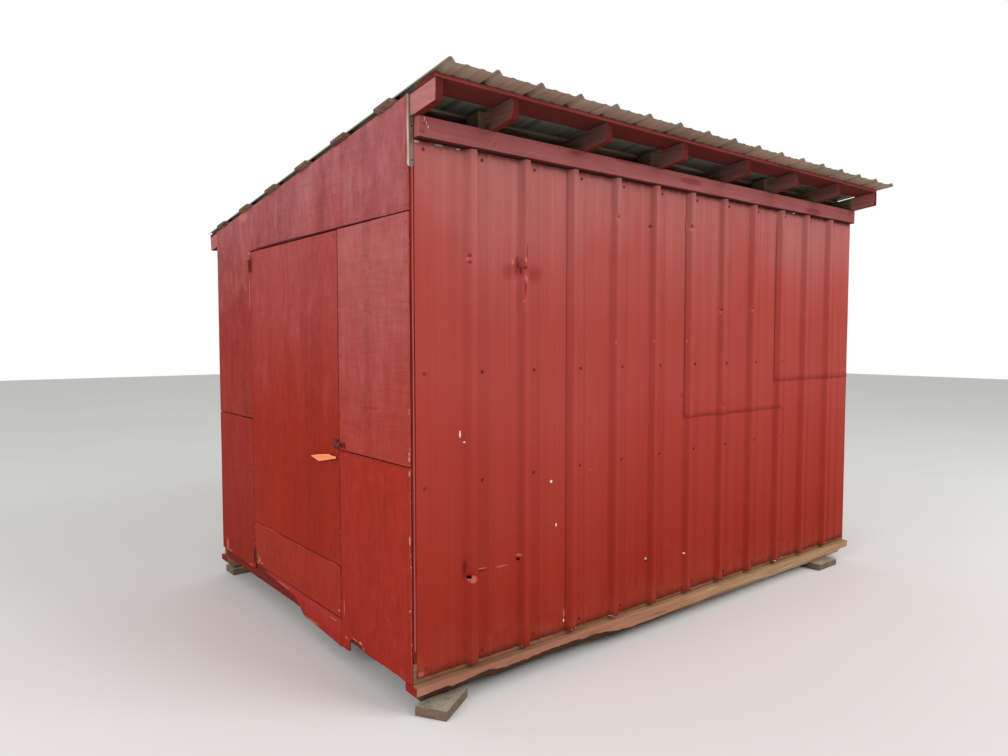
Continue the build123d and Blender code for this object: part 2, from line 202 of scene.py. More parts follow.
class Varying:
    """A quantity that varies over a surface: one socket, whose arithmetic adds Math nodes."""

    def __init__(self, finish, socket):
        self.finish = finish
        self.socket = socket

    def math(self, operation, *numbers):
        """The result of one Math node."""
        return self.finish.add("ShaderNodeMath", {"operation": operation}, dict(enumerate(numbers)))

    def __add__(self, other):
        return self.math("ADD", self, other)

    def __sub__(self, other):
        return self.math("SUBTRACT", self, other)

    def __rsub__(self, other):
        return self.math("SUBTRACT", other, self)

    def __mul__(self, other):
        return self.math("MULTIPLY", self, other)

    def __truediv__(self, other):
        return self.math("DIVIDE", self, other)

    __radd__ = __add__
    __rmul__ = __mul__

    def most(self, other):
        """The greater of the two."""
        return self.math("MAXIMUM", self, other)

    def least(self, other):
        """The smaller of the two."""
        return self.math("MINIMUM", self, other)

    def size(self):
        """The value without its sign."""
        return self.math("ABSOLUTE", self)

    def within(self, period):
        """What is left over whole periods, from 0 to the period."""
        return self.math("FLOORED_MODULO", self, period)

    def swing(self, width):
        """A noise's swing about its middle, which is at 0.5: its distance from there times width."""
        return (self - 0.5) * width

    def step(self, low, high):
        """Eases from 0 at low to 1 at high, or the other way where low is the larger."""
        sockets = {"Value": self, "From Min": low, "From Max": high}
        return self.finish.add("ShaderNodeMapRange", {"interpolation_type": "SMOOTHSTEP"}, sockets)


class Finish:
    """One procedural material, and the one way to add a node to it. Fixed colours are given as they look."""

    def __init__(self, name):
        self.material = bpy.data.materials.new(name)
        self.material.use_nodes = True
        self.tree = self.material.node_tree
        self.tree.nodes.clear()
        self.place = self.add("ShaderNodeTexCoord", {}, {}, "Object")
        x, y, self.z = (self.add("ShaderNodeSeparateXYZ", {}, {0: self.place}, k) for k in range(3))
        self.x = x - corner.x
        self.y = y - corner.y

    def add(self, kind, settings, sockets, out=0):
        """Adds a node, its settings first and then a value or link for each socket, and gives one output."""
        node = self.tree.nodes.new(kind)
        for setting, value in settings.items():
            if setting == "stops":
                while len(node.color_ramp.elements) < len(value):
                    node.color_ramp.elements.new(0.5)
                for element, (position, colour) in zip(node.color_ramp.elements, value):
                    element.position = position
                    element.color = colour
            else:
                setattr(node, setting, value)
        for socket, value in sockets.items():
            if isinstance(value, Varying):
                self.tree.links.new(value.socket, node.inputs[socket])
            else:
                node.inputs[socket].default_value = value
        return None if out is None else Varying(self, node.outputs[out])

    def scattered(self, waves, shift):
        """The place in waves, so many to the metre along x, y and z or one number for all, then shifted."""
        waves = tuple(np.broadcast_to(waves, 3).tolist())
        stretched = self.add("ShaderNodeVectorMath", {"operation": "MULTIPLY"}, {0: self.place, 1: waves})
        return self.add("ShaderNodeVectorMath", {"operation": "ADD"}, {0: stretched, 1: (shift,) * 3})

    def noise(self, waves, detail=3.0, roughness=0.55, shift=0.0):
        """Cloudy noise about 0.5."""
        sockets = {"Vector": self.scattered(waves, shift), "Scale": 1.0}
        sockets |= {"Detail": detail, "Roughness": roughness}
        return self.add("ShaderNodeTexNoise", {}, sockets, "Fac")

    def spots(self, waves, shift=0.0):
        """Distance from the nearest of many scattered points, in cells."""
        sockets = {"Vector": self.scattered(waves, shift), "Scale": 1.0}
        return self.add("ShaderNodeTexVoronoi", {}, sockets, "Distance")

    def ramp(self, level, stops):
        """A colour that runs through the given stops as level goes from 0 to 1."""
        stops = [(position, paint(*colour)) for position, colour in stops]
        return self.add("ShaderNodeValToRGB", {"stops": stops}, {"Fac": level}, "Color")

    def mix(self, share, under, over):
        """The colour under, with a share of the colour over."""
        under, over = (c if isinstance(c, Varying) else paint(*c) for c in (under, over))
        return self.add("ShaderNodeMix", {"data_type": "RGBA"}, {0: share, 6: under, 7: over}, 2)

    def tint(self, colour, amount):
        """A colour made lighter or darker by a factor."""
        colour = colour if isinstance(colour, Varying) else paint(*colour)[:3]
        return self.add("ShaderNodeVectorMath", {"operation": "SCALE"}, {0: colour, "Scale": amount})

    def facing(self, axis):
        """How far a face looks along one axis, from -1 to 1."""
        normal = self.add("ShaderNodeNewGeometry", {}, {}, "Normal")
        return self.add("ShaderNodeSeparateXYZ", {}, {0: normal}, axis)

    def within_any(self, along, spots):
        """1 at the middle and 0 at the rim of the nearest ellipse (along, z, half width, half height)."""
        found = self.z * 0
        for at, z, wide, tall in spots:
            da, dz = (along - at) / wide, (self.z - z) / tall
            found = found.most(1 - da * da - dz * dz)
        return found

    def marked(self, colour, along, spots, ragged, edge, share, mark):
        """A colour with marks in ellipses, ragged by a noise. edge is where a mark begins and is full."""
        if not spots:
            return colour
        return self.mix((self.within_any(along, spots) + ragged).step(*edge) * share, colour, mark)

    def inset(self):
        """How far a point lies inside its sheet's or panel's outline."""
        return self.add("ShaderNodeAttribute", {"attribute_name": "inset"}, {}, "Fac")

    def done(self, colour, roughness, relief=None, metallic=0.0, specular=0.03):
        """Ends the finish: relief is a height in metres."""
        sockets = {"Base Color": colour, "Roughness": roughness, "Metallic": metallic}
        sockets["Specular IOR Level"] = specular
        if relief is not None:
            sockets["Normal"] = self.add("ShaderNodeBump", {}, {"Height": relief, "Distance": 1.0}, "Normal")
        shader = self.add("ShaderNodeBsdfPrincipled", {}, sockets, "BSDF")
        self.add("ShaderNodeOutputMaterial", {}, {"Surface": shader}, None)
        return self.material


def grained(along, across):
    """Waves to the metre for grain that follows each of the axes: along it, and across in the other two."""
    return {axis: [along if other == axis else across for other in "xyz"] for axis in "xyz"}


FINE, BROAD, KNOTS = grained(3.0, 90.0), grained(0.6, 9.0), grained(1.5, 9.0)
DARK_RED = (92, 20, 18)
STEEL_FOOT, STEEL_TOP = 0.153, 2.42


def steel_paint(name, chips=(), scuffs_and_highlights=(), shadows=(), creases=()):
    """Red paint on ribbed steel: chalky and pinker towards the top, partly as painted sky sheen, with upright
    runs and flecks at its foot.

    Chips go down to the zinc. Scuffs are paler: rubbed paint, and painted highlight on the lit faces of
    dents.
    Shadows and creases are painted shade where dents turn the sheet from the light. All are ragged ellipses.
    Rusty dust lies low, laid on thicker along the foot as painted light against the shade there. The lower
    edge is chipped.
    """
    f = Finish(name)
    patch = f.noise((1.4, 1.4, 0.9))
    run = f.noise((26.0, 26.0, 0.5), 4, 0.6)
    thin_run = f.noise((120.0, 120.0, 0.9), 2)
    cloud = f.noise((7.0, 7.0, 4.0), 3, 0.5, 3.1)
    ragged = f.noise((260.0, 260.0, 220.0), 2) - 0.5
    rise = (f.z - STEEL_FOOT) / (STEEL_TOP - STEEL_FOOT)
    # Paler and pinker with height: chalking, and a painted sheen of sky on the upper steel
    colour = f.ramp(rise + patch.swing(0.34) + run.swing(0.16), [
        (0.0, (147, 41, 29)), (0.16, (154, 49, 36)), (0.42, (163, 60, 51)), (0.55, (166, 68, 60)),
        (0.70, (165, 69, 61)), (0.82, (169, 79, 72)), (0.90, (171, 91, 86)), (1.0, (173, 103, 99)),
    ])
    high_run = rise.step(0.55, 0.95) * 0.22 + 0.1
    colour = f.tint(colour, run.swing(high_run) + thin_run.swing(0.12) + cloud.swing(0.1) + 1)
    dust_and_painted_light = (f.noise((18.0, 18.0, 9.0), 4, 0.65) - 0.35) * f.z.step(0.42, 0.15) * 1.1
    # A paler band along the foot: dust, and painted light that lifts the shade over the ledge
    dust_and_painted_light = dust_and_painted_light + f.z.step(0.21, 0.155) * 0.22
    colour = f.mix(dust_and_painted_light.least(0.4).most(0.0), colour, (150, 84, 64))
    colour = f.marked(colour, f.x, shadows, cloud.swing(1.2), (0.0, 1.1), 0.42, (132, 28, 24))
    colour = f.marked(colour, f.x, creases, ragged * 0.6, (0.0, 0.9), 0.7, (104, 22, 20))
    # Paler marks: rubbed paint, and painted highlights on the lit faces of dents
    colour = f.marked(colour, f.x, scuffs_and_highlights, ragged * 0.8, (0.1, 0.8), 0.65, (204, 110, 98))
    bare = f.inset().step(0.006, 0.001) * f.noise(22.0, 3).step(0.60, 0.66) * f.z.step(0.175, 0.160)
    bare = bare.most(f.within_any(f.x, chips))
    chip = (bare + ragged * 0.9).step(0.3, 0.42)
    fleck = f.spots((60.0, 60.0, 34.0)).step(0.16, 0.1) * f.noise((5.0, 5.0, 7.0)).step(0.6, 0.68)
    fleck = fleck * f.z.step(0.5, 0.17)
    colour = f.mix((bare + ragged * 0.9).step(0.02, 0.2) * bare.step(0.0, 0.08), colour, DARK_RED)
    colour = f.mix(chip.most(fleck * 0.6), colour, (230, 208, 198))
    relief = cloud.swing(0.0006) + thin_run.swing(0.00005) - chip * 0.0003
    return f.done(colour, run.swing(0.2) + 0.52, relief)


def painted_ply(name, axis, low, high, foot, top, runs=0.2, chips=(), bands=(), stains=(), rubbed=(),
                shade=(), figure=0.06, bloom=0.15, blotch=0.2):
    """Red paint on plywood, from the colour low at its foot to high at its top, with grain along an axis.

    The figure of the veneer is the contour lines of its broad grain. Small cracks run with the grain, and
    edges are worn to bare wood in places. bloom is how much grey chalk lies on the paint, and blotch how
    uneven it is by the hand's breadth. Chips, rust stains, rubbed places and dark shade are ragged ellipses.
    Each of the bands (y, half width, amount) is a strip that runs down.
    """
    f = Finish(name)
    fine = f.noise(FINE[axis], 4, 0.6)
    broad = f.noise(BROAD[axis], 3, 0.5)
    upright = f.noise((14.0, 14.0, 1.1), 4, 0.6, 2.3)
    patch = f.noise((2.2, 2.2, 1.7), 3, 0.5, 7.7)
    mottle = f.noise((34.0, 34.0, 13.0), 3, 0.6, 12.0)
    cloud = f.noise((7.0, 7.0, 4.0), 4, 0.65, 15.0)
    worn = f.noise(17.0, 4, 0.6, 5.0)
    ragged = f.noise(240.0, 2) - 0.5
    rings = (broad * 14).within(1.0).swing(1).size() * 2
    level = (f.z - foot) / (top - foot) + patch.swing(0.4) + upright.swing(0.25)
    colour = f.mix(level.step(0.0, 1.0), low, high)
    tone = fine.swing(0.16) + broad.swing(0.16) + upright.swing(runs) + rings.swing(figure)
    tone = tone + mottle.swing(0.42) + cloud.swing(blotch) + 1
    for middle, half, amount in bands:
        tone = tone + ((f.y + upright.swing(0.1) - middle).size() / half).step(1.0, 0.3) * amount
    colour = f.tint(colour, tone)
    chalk = (cloud + mottle.swing(0.5)).step(0.48, 0.72) * level.step(-0.2, 0.8)
    colour = f.mix(chalk * bloom, colour, (158, 104, 108))
    crack = f.noise(FINE[axis], 2, 0.5, 11.0).step(0.69, 0.76)
    colour = f.mix(crack * 0.35, colour, DARK_RED)
    edge = f.inset().step(0.006, 0.001)
    colour = f.mix(edge * 0.12, colour, (112, 32, 28))
    pale = worn.swing(1.2) + ragged * 0.8
    colour = f.marked(colour, f.y, rubbed, pale, (0.1, 0.9), 0.55, (206, 118, 106))
    colour = f.marked(colour, f.y, shade, ragged * 0.4, (0.0, 0.4), 0.85, (66, 16, 18))
    rust = f.mix(fine.step(0.35, 0.6), (84, 26, 22), (162, 74, 58))
    colour = f.marked(colour, f.y, stains, worn.swing(1.6), (0.25, 0.7), 0.8, rust)
    bare = (edge * worn.step(0.60, 0.70) * 0.3).most(f.within_any(f.y, chips))
    chip = (bare + ragged * 0.9).step(0.3, 0.45)
    colour = f.mix((bare + ragged).step(0.02, 0.25) * bare.step(0.0, 0.08) * 0.7, colour, DARK_RED)
    colour = f.mix(chip, colour, f.mix(fine.step(0.35, 0.6), (150, 104, 84), (206, 168, 146)))
    relief = fine.swing(0.0006) + broad.swing(0.0007) + rings * 0.00012 - crack * 0.0005 - chip * 0.0005
    return f.done(colour, patch.swing(0.2) + 0.62, relief)


def red_board(name, light, dark, front=None, under=None, knots=(), scrapes=(), shade_line=None):
    """Faded red paint on sawn lumber: grain along the board, knots that show through, and scraped places.

    front and under are colours of its front and lower faces where the light makes them differ. The last
    argument is a height below which a dark strip is painted as the shadow of the gap beneath the board.
    """
    f = Finish(name)
    fine = f.noise(FINE["x"], 4, 0.62)
    broad = f.noise(BROAD["x"], 3, 0.5, 1.3)
    patch = f.noise((4.0, 4.0, 6.0), 3, 0.5, 4.1)
    grain = (fine * 0.5 + broad * 0.3 + patch * 0.2).step(0.34, 0.68)
    colour = f.mix(grain, dark, light)
    for axis, look in ((1, front), (2, under)):
        if look:
            colour = f.mix(f.facing(axis).step(-0.5, -0.8), colour, f.tint(look, grain * 0.3 + 0.85))
    knot = f.spots(KNOTS["x"], 2.7).step(0.2, 0.1)
    if knots:
        knot = knot.most(f.within_any(f.x, knots) + fine.swing(0.8))
    colour = f.mix(knot.least(1.0).most(0.0) * 0.5, colour, (120, 34, 40))
    colour = f.tint(colour, patch.swing(0.2) + 1)
    # A dark strip along the lower edge: painted shadow of the gap beneath the board
    if shade_line:
        colour = f.mix((f.z + fine.swing(0.004)).step(shade_line, shade_line - 0.003) * 0.85, colour, (62, 26, 24))
    colour = f.marked(colour, f.x, scrapes, fine.swing(0.6), (0.15, 0.5), 1.0, (206, 160, 148))
    return f.done(colour, 0.68, fine.swing(0.0009) + knot * 0.0006)


def rafter_paint(name, light, dark):
    """Rafters: dark red outside the walls, with paler left sides and brown-red undersides, bare inside."""
    f = Finish(name)
    fine = f.noise(FINE["y"], 4, 0.62)
    broad = f.noise(BROAD["y"], 3, 0.5, 1.3)
    grain = fine * 0.6 + broad * 0.4
    soft = grain.step(0.36, 0.66)
    colour = f.mix(soft, (84, 30, 30), (112, 42, 42))
    colour = f.mix(f.facing(0).step(-0.5, -0.8), colour, f.mix(grain.step(0.3, 0.7), dark, light))
    colour = f.mix(f.facing(2).step(-0.5, -0.8), colour, (104, 38, 32))
    inside = (f.y.least(WIDTH - f.y) + broad.swing(0.03)).step(-0.035, -0.015)
    inside = inside * f.x.least(LENGTH - f.x).step(0.001, 0.004)
    colour = f.mix(inside, colour, f.mix(soft, (96, 76, 58), (140, 116, 90)))
    return f.done(colour, 0.7, fine.swing(0.0009))


def bare_wood(name, axis, light, dark, stained=0.3, ends=None, coat=((96, 30, 26), (128, 46, 40)), bead=None):
    """Unpainted lumber: growth rings as stretched noise, darker knots and grey-brown stains.

    Faces in the walls' outer planes are painted in the two colours of coat, or end faces alone have the
    colour ends. bead is a paler line of paint along the corner; on the corner stud the darker coat either
    side of it is partly painted shade in the narrow reveal.
    """
    f = Finish(name)
    fine = f.noise(FINE[axis], 4, 0.65)
    broad = f.noise(BROAD[axis], 4, 0.6, 1.3)
    colour = f.mix((fine * 0.55 + broad * 0.45).step(0.34, 0.68), dark, light)
    colour = f.mix(f.spots(KNOTS[axis], 5.3).step(0.17, 0.08) * 0.8, colour, (88, 56, 38))
    patch = f.noise(3.0, 4, 0.6, 8.0).step(0.62 - stained, 0.95 - stained)
    colour = f.mix(patch * 0.6, colour, (70, 58, 48))
    if ends:
        colour = f.mix(f.facing(0).size().step(0.5, 0.8), colour, f.tint(ends, broad * 0.8 + 0.6))
    else:
        outer = f.x.least(f.y).least(LENGTH - f.x).least(WIDTH - f.y).step(0.0025, 0.0008)
        red = f.mix(fine.step(0.3, 0.7), *coat)
        if bead:
            line = f.x.step(0.0055, 0.0075) * f.x.step(0.0130, 0.0110) * broad.step(0.2, 0.45)
            red = f.mix(line, red, bead)
        colour = f.mix(outer * f.z.step(2.53, 2.51), colour, red)
    return f.done(colour, 0.78, fine.swing(0.001))


def ply_edge(name):
    """Plywood's cut edge: veneers 2.4 mm apart, light and dark in turn, mostly painted red."""
    f = Finish(name)
    layer = f.x.within(0.0048).step(0.0018, 0.003)
    wood = f.mix(layer, (206, 170, 140), (142, 102, 78))
    painted = f.noise(60.0, 3).step(0.70, 0.60)
    return f.done(f.mix(painted * 0.95, wood, (168, 58, 50)), 0.75, layer * 0.0003)


def bare_ply(name):
    """The bare back of the plywood: brown veneer with upright grain and the contours of its broad figure."""
    f = Finish(name)
    fine = f.noise(FINE["z"], 4, 0.6)
    broad = f.noise(BROAD["z"], 3, 0.5, 21.0)
    rings = (broad * 11).within(1.0).swing(1).size() * 2
    level = (fine * 0.5 + broad * 0.25 + rings * 0.25).step(0.25, 0.75)
    return f.done(f.mix(level, (118, 90, 64), (174, 144, 110)), 0.8, fine.swing(0.0004))


def steel_back(name):
    """The inner side of the wall steel: a dull pale grey undercoat with faint upright runs."""
    f = Finish(name)
    run = f.noise((30.0, 30.0, 0.8), 3)
    cloud = f.noise((6.0, 6.0, 4.0), 3, 0.6)
    colour = f.mix((run * 0.5 + cloud * 0.5).step(0.3, 0.7), (146, 144, 136), (178, 176, 168))
    return f.done(colour, 0.6, metallic=0.1)


def roof_zinc(name):
    """Old coated roof steel: grey-green with pale runs, rust at its ends, and tan below where it juts out."""
    f = Finish(name)
    patch = f.noise((2.0, 1.2, 2.0), 4, 0.6)
    run = f.noise((40.0, 0.8, 6.0), 3)
    tones = [(0.3, (98, 100, 86)), (0.5, (124, 126, 108)), (0.7, (150, 150, 132))]
    colour = f.ramp((patch + run) * 0.5, tones)
    rust = f.noise((14.0, 3.0, 14.0), 5, 0.7, 3.0).step(0.62, 0.74) * 0.5 + f.inset().step(0.02, 0.0) * 0.35
    colour = f.mix(rust.least(0.8), colour, (116, 88, 66))
    outside = f.y.least(f.x).step(0.0, -0.02)
    below = f.facing(2).step(0.0, -0.4)
    tan = f.mix((patch + run * 0.6).step(0.6, 1.0), (136, 118, 102), (166, 144, 128))
    colour = f.mix(below * outside, colour, tan)
    colour = f.mix(below * (1 - outside), colour, (126, 126, 110))
    return f.done(colour, 0.5, patch.swing(0.0008), metallic=0.25)


def zinc(name):
    """The strap's galvanising: a worn pale bend with painted highlight, a stained grey-brown front, red paint
    on its side.
    """
    f = Finish(name)
    cloud = f.noise((30.0, 30.0, 9.0), 4)
    # The pale bend: worn zinc, and painted highlight where the edge catches the light
    worn_lit_bend = (f.x + cloud.swing(0.006)).step(-0.0045, -0.0085)
    foot = (f.z + cloud.swing(0.08)).step(2.42, 2.38)
    front = f.mix(foot, f.mix(cloud.step(0.35, 0.65), (98, 78, 70), (132, 116, 104)), (124, 106, 100))
    colour = f.mix(worn_lit_bend, front, f.mix(cloud.step(0.3, 0.7), (178, 146, 138), (224, 208, 200)))
    side = f.mix(cloud.step(0.35, 0.7), (140, 72, 66), (168, 92, 88))
    colour = f.mix(f.y.step(-0.0008, 0.0006), colour, side)
    return f.done(colour, cloud * 0.3 + 0.4, cloud.swing(0.0003), metallic=0.15)


def old_hinge(name):
    """Hinge steel under red paint, flaked in places to brown rust and a little bare metal."""
    f = Finish(name)
    flake = f.noise((70.0, 70.0, 50.0), 5, 0.7)
    base = f.mix(f.noise((30.0, 30.0, 12.0)), (112, 34, 28), (152, 62, 54))
    rusty = f.mix(f.noise(180.0, 3), (62, 26, 24), (104, 46, 38))
    colour = f.mix(flake.step(0.46, 0.54), base, rusty)
    colour = f.mix(flake.step(0.66, 0.7), colour, (206, 186, 176))
    return f.done(colour, 0.6, flake * 0.0008, metallic=0.1)


def block_wood(name):
    """Dirty grey-brown timber blocks that stand on the ground, paler on top."""
    f = Finish(name)
    grain = f.noise((14.0, 60.0, 60.0), 4, 0.7)
    dirt = f.noise(16.0, 5, 0.7, 2.0)
    colour = f.mix(grain, (80, 66, 56), (142, 124, 104))
    colour = f.mix(f.facing(2).step(0.6, 0.9), colour, f.mix(grain, (132, 122, 106), (182, 172, 156)))
    colour = f.mix(dirt.step(0.5, 0.7) * 0.7, colour, (104, 90, 74))
    return f.done(colour, 0.85, grain * 0.002)


def skid_wood(name):
    """The skids' weathered timber: orange-brown, more tan along the far part, with a paler broken edge there.

    Its top is duller, its broken underside darkened as painted shade and its near end painted red. Long
    cracks follow the grain.
    """
    f = Finish(name)
    fine = f.noise(FINE["x"], 4, 0.65)
    broad = f.noise((1.6, 14.0, 14.0), 4, 0.6, 6.0)
    colour = f.ramp(fine * 0.45 + broad * 0.55, [
        (0.3, (124, 84, 68)), (0.45, (158, 107, 86)), (0.6, (166, 112, 92)), (0.75, (188, 144, 112)),
    ])
    ledge = (f.facing(2) + fine.swing(0.4)).step(0.55, 0.8)
    top = f.tint(f.mix(fine, (122, 88, 64), (160, 120, 88)), f.x.step(0.3, 1.2) * 0.5 + 1)
    colour = f.mix(ledge * 0.85, colour, top)
    low = (f.z + broad.swing(0.05)).step(0.066, 0.05)
    colour = f.mix(low * 0.7, colour, (96, 72, 54))
    # Downward faces of the broken arris are darkened: painted shade under the skid
    colour = f.mix(f.facing(2).step(-0.12, -0.35) * 0.85, colour, (64, 50, 40))
    tan = ((f.x + fine.swing(0.06)).step(0.07, 0.02) * 0.4).most((f.x + broad.swing(2.4)).step(0.9, 2.6))
    colour = f.mix(tan * 0.75, colour, f.mix(fine.step(0.35, 0.65), (150, 118, 84), (176, 146, 110)))
    colour = f.mix(f.z.step(0.097, 0.090) * f.x.step(2.2, 2.8) * 0.5, colour, (206, 176, 150))
    crack = f.noise((4.0, 160.0, 160.0), 2, 0.5, 4.0).step(0.66, 0.72)
    colour = f.mix(crack * 0.6, colour, (78, 56, 42))
    near_end = (f.x + broad.swing(0.02)).step(0.0, -0.009)
    colour = f.mix(near_end, colour, f.mix(fine, (120, 30, 26), (158, 44, 38)))
    return f.done(colour, 0.8, fine.swing(0.0016) - crack * 0.001)


def tag_card(name):
    """Bright orange card, a little faded in clouds and paler at its rim."""
    f = Finish(name)
    fade_out = f.noise(30.0, 4)
    colour = f.mix(fade_out, (240, 122, 66), (255, 158, 104))
    colour = f.mix(f.inset().step(0.010, 0.002) * 0.7, colour, (255, 150, 132))
    return f.done(colour, 0.55, fade_out * 0.0002)


def plain_metal(name, light, dark, rough):
    """Small steel fasteners: two tones by a fine noise."""
    f = Finish(name)
    tone = f.noise(150.0, 3)
    return f.done(f.mix(tone, dark, light), rough, tone * 0.0002, metallic=0.3)


# Ribbed steel sheets
WALL_RIB = 0.3048
WALL_RIBS = 11
RIB_HIGH = 0.030
RIB_BASE = 0.076
RIB_CROWN = 0.026
ROOF_RIB = 0.2286
ROOF_FIRST = 0.009
ROOF_HIGH = 0.019
ROOF_BASE = 0.042
ROOF_CROWN = 0.012
SWAGE_HIGH = 0.003
SWAGE_BASE = 0.030
SWAGE_CROWN = 0.016
SWAGE_SHARES = (1 / 3, 2 / 3)

# Dents as (x, z, half width, half height, depth), and holes as (x, z, radius)
DENTS = [
    (0.572, 1.940, 0.020, 0.036, 0.012), (0.545, 1.905, 0.030, 0.018, 0.007),
    (0.610, 1.900, 0.040, 0.026, 0.007), (0.575, 1.80, 0.010, 0.070, 0.004),
    (0.604, 2.00, 0.008, 0.050, 0.004), (0.28, 1.964, 0.014, 0.014, 0.006),
    (0.28, 1.937, 0.013, 0.012, 0.005), (0.283, 0.545, 0.024, 0.022, 0.010),
    (0.262, 0.600, 0.012, 0.050, 0.005), (0.36, 0.556, 0.060, 0.009, 0.0030),
    (0.46, 0.545, 0.050, 0.012, 0.0022), (0.573, 0.57, 0.016, 0.014, 0.006),
    (1.21, 2.22, 0.018, 0.024, 0.007), (1.485, 2.20, 0.016, 0.018, 0.006),
    (1.81, 2.23, 0.026, 0.030, 0.010), (2.11, 1.77, 0.018, 0.022, 0.007),
    (2.425, 1.786, 0.018, 0.020, 0.007), (1.77, 1.276, 0.016, 0.014, 0.005),
    (2.125, 1.214, 0.016, 0.016, 0.005), (0.76, 0.60, 0.060, 0.050, 0.002),
    (1.66, 0.85, 0.070, 0.060, 0.002), (1.35, 1.30, 0.050, 0.080, 0.002), (0.14, 1.10, 0.040, 0.060, 0.002),
]
DEEP_DENT = 0.0035
STAR_X, STAR_Z = 0.57, 1.93
HOLES = [(0.284, 0.545, 0.0075), (0.576, 0.570, 0.0050), (1.480, 0.389, 0.006), (0.265, 1.157, 0.0030)]


def ridge(distance, base, crown, round_share):
    """A rib's section from 0 to 1: 1 over its crown, 0 beyond its base, and a partly eased slope between."""
    t = np.clip((base / 2 - np.abs(distance)) / (base / 2 - crown / 2), 0, 1)
    return (1 - round_share) * t + round_share * ease(t)


def bay(along, pitch, first=0.0):
    """Distance from the nearest of the lines that lie a pitch apart, and that line's number."""
    number = np.round((along - first) / pitch)
    return along - first - number * pitch, number


def swages(along, pitch, first=0.0):
    """Height of the low swages that stand at a third and two thirds of each pan."""
    away = [bay(along, pitch, first + pitch * share)[0] for share in SWAGE_SHARES]
    return sum(ridge(distance, SWAGE_BASE, SWAGE_CROWN, 0.6) for distance in away) * SWAGE_HIGH


def wall_section(x):
    """Height of the wall steel's ribs and swages at x, and a share that is 0 on a rib and 1 out in a pan."""
    away, number = bay(x, WALL_RIB)
    rib = ridge(away, RIB_BASE, RIB_CROWN, 0.45) * RIB_HIGH * ((number >= 1) & (number <= WALL_RIBS))
    return rib + swages(x, WALL_RIB), ease((np.abs(away) - 0.03) / 0.05)


def front_relief(x, z):
    """How far the front wall's steel stands out at x, z: its section, slack in the pans, and dents.

    Slack is a slow ripple that fades on the ribs. A dent is a pit exp(-d) deep, with d its scaled distance
    squared. Round the largest dent, five folds stand out as a sine of the angle.
    """
    section, pan = wall_section(x)
    slack = 0.0012 + ripple(x * 1.3, z, 11, 0.55) * 0.0016 + ripple(x, z, 12, 0.21, 2) * 0.0005
    out = section + pan * slack + 0.0006 + ripple(x * 0, z, 13, 0.9) * 0.0006
    for at_x, at_z, across, tall, deep in DENTS:
        squared = ((x - at_x) / across) ** 2 + ((z - at_z) / tall) ** 2
        out = out - deep * np.exp(-squared) * np.where(squared < 6, 1, 0)
    angle = np.arctan2(z - STAR_Z, x - STAR_X)
    near = np.exp(-((x - STAR_X) ** 2 + (z - STAR_Z) ** 2) / 0.0016)
    return out + near * np.sin(angle * 5 + 0.6) * 0.0030


def back_relief(x, z):
    """How far the back wall's steel stands out: as in front, with its own slack and no dents."""
    section, pan = wall_section(x)
    return section + pan * (0.0012 + ripple(x * 1.3, z, 21, 0.6) * 0.0014)


def roof_relief(x, s):
    """How far the roof's steel stands up: low ribs, two swages to a pan, and slack between the ribs."""
    away, _ = bay(x, ROOF_RIB, ROOF_FIRST)
    slack = (0.0009 + ripple(x * 1.2, s, 31, 0.5) * 0.0012) * ease((np.abs(away) - 0.022) / 0.04)
    return ridge(away, ROOF_BASE, ROOF_CROWN, 0.4) * ROOF_HIGH + swages(x, ROOF_RIB, ROOF_FIRST) + slack


def columns_over(low, high, pitch, first, base):
    """Places for a sheet's columns: thirteen over each rib, seven over each swage, and others 38 mm apart."""
    ribs = (first + pitch * np.arange(-1, round((high - low) / pitch) + 20))[:, None]
    places = [np.array([low, high]), low + np.arange(0, high - low, 0.038)]
    places.append((ribs + np.linspace(-0.5, 0.5, 13) * base).ravel())
    swage = np.linspace(-0.5, 0.5, 7) * SWAGE_BASE
    places += [(ribs + share * pitch + swage).ravel() for share in SWAGE_SHARES]
    places = np.concatenate(places)
    return thinned(places[(places >= low) & (places <= high)], 0.0045)


def refined(places, spots, least=0.0042):
    """Places with more of them round each spot (middle, reach), a step of least apart."""
    low, high = places[0], places[-1]
    more = [np.arange(middle - reach, middle + reach, least) for middle, reach in spots]
    merged = np.concatenate([places, *more]) if more else places
    return thinned(merged[(merged >= low) & (merged <= high)], least * 0.7)


def sheet_grid(x_low, x_high, z_low, z_high, section, spots=(), row=0.045):
    """A sheet's grid: columns that follow its section (pitch, first rib, rib's base), rows at steps of row.

    Both are closer together round spots (x, z, reach along x, reach along z).
    """
    rows = np.append(np.arange(z_low, z_high - row / 2, row), z_high)
    inside = [s for s in spots if x_low < s[0] < x_high and z_low < s[1] < z_high]
    columns = refined(columns_over(x_low, x_high, *section), [(s[0], s[2]) for s in inside])
    return np.meshgrid(columns, refined(rows, [(s[1], s[3]) for s in inside]))


def inside_by(x, z):
    """Each grid point's distance in from the outline of its grid."""
    return np.minimum(np.minimum(x - x.min(), x.max() - x), np.minimum(z - z.min(), z.max() - z))


def holed(x, z, holes):
    """Which cells stay: those whose middle is outside every hole."""
    middle_x = (x[:-1, :-1] + x[1:, 1:]) / 2
    middle_z = (z[:-1, :-1] + z[1:, 1:]) / 2
    kept = np.ones(middle_x.shape, bool)
    for at_x, at_z, reach in holes:
        kept &= (middle_x - at_x) ** 2 + (middle_z - at_z) ** 2 > reach**2
    return kept


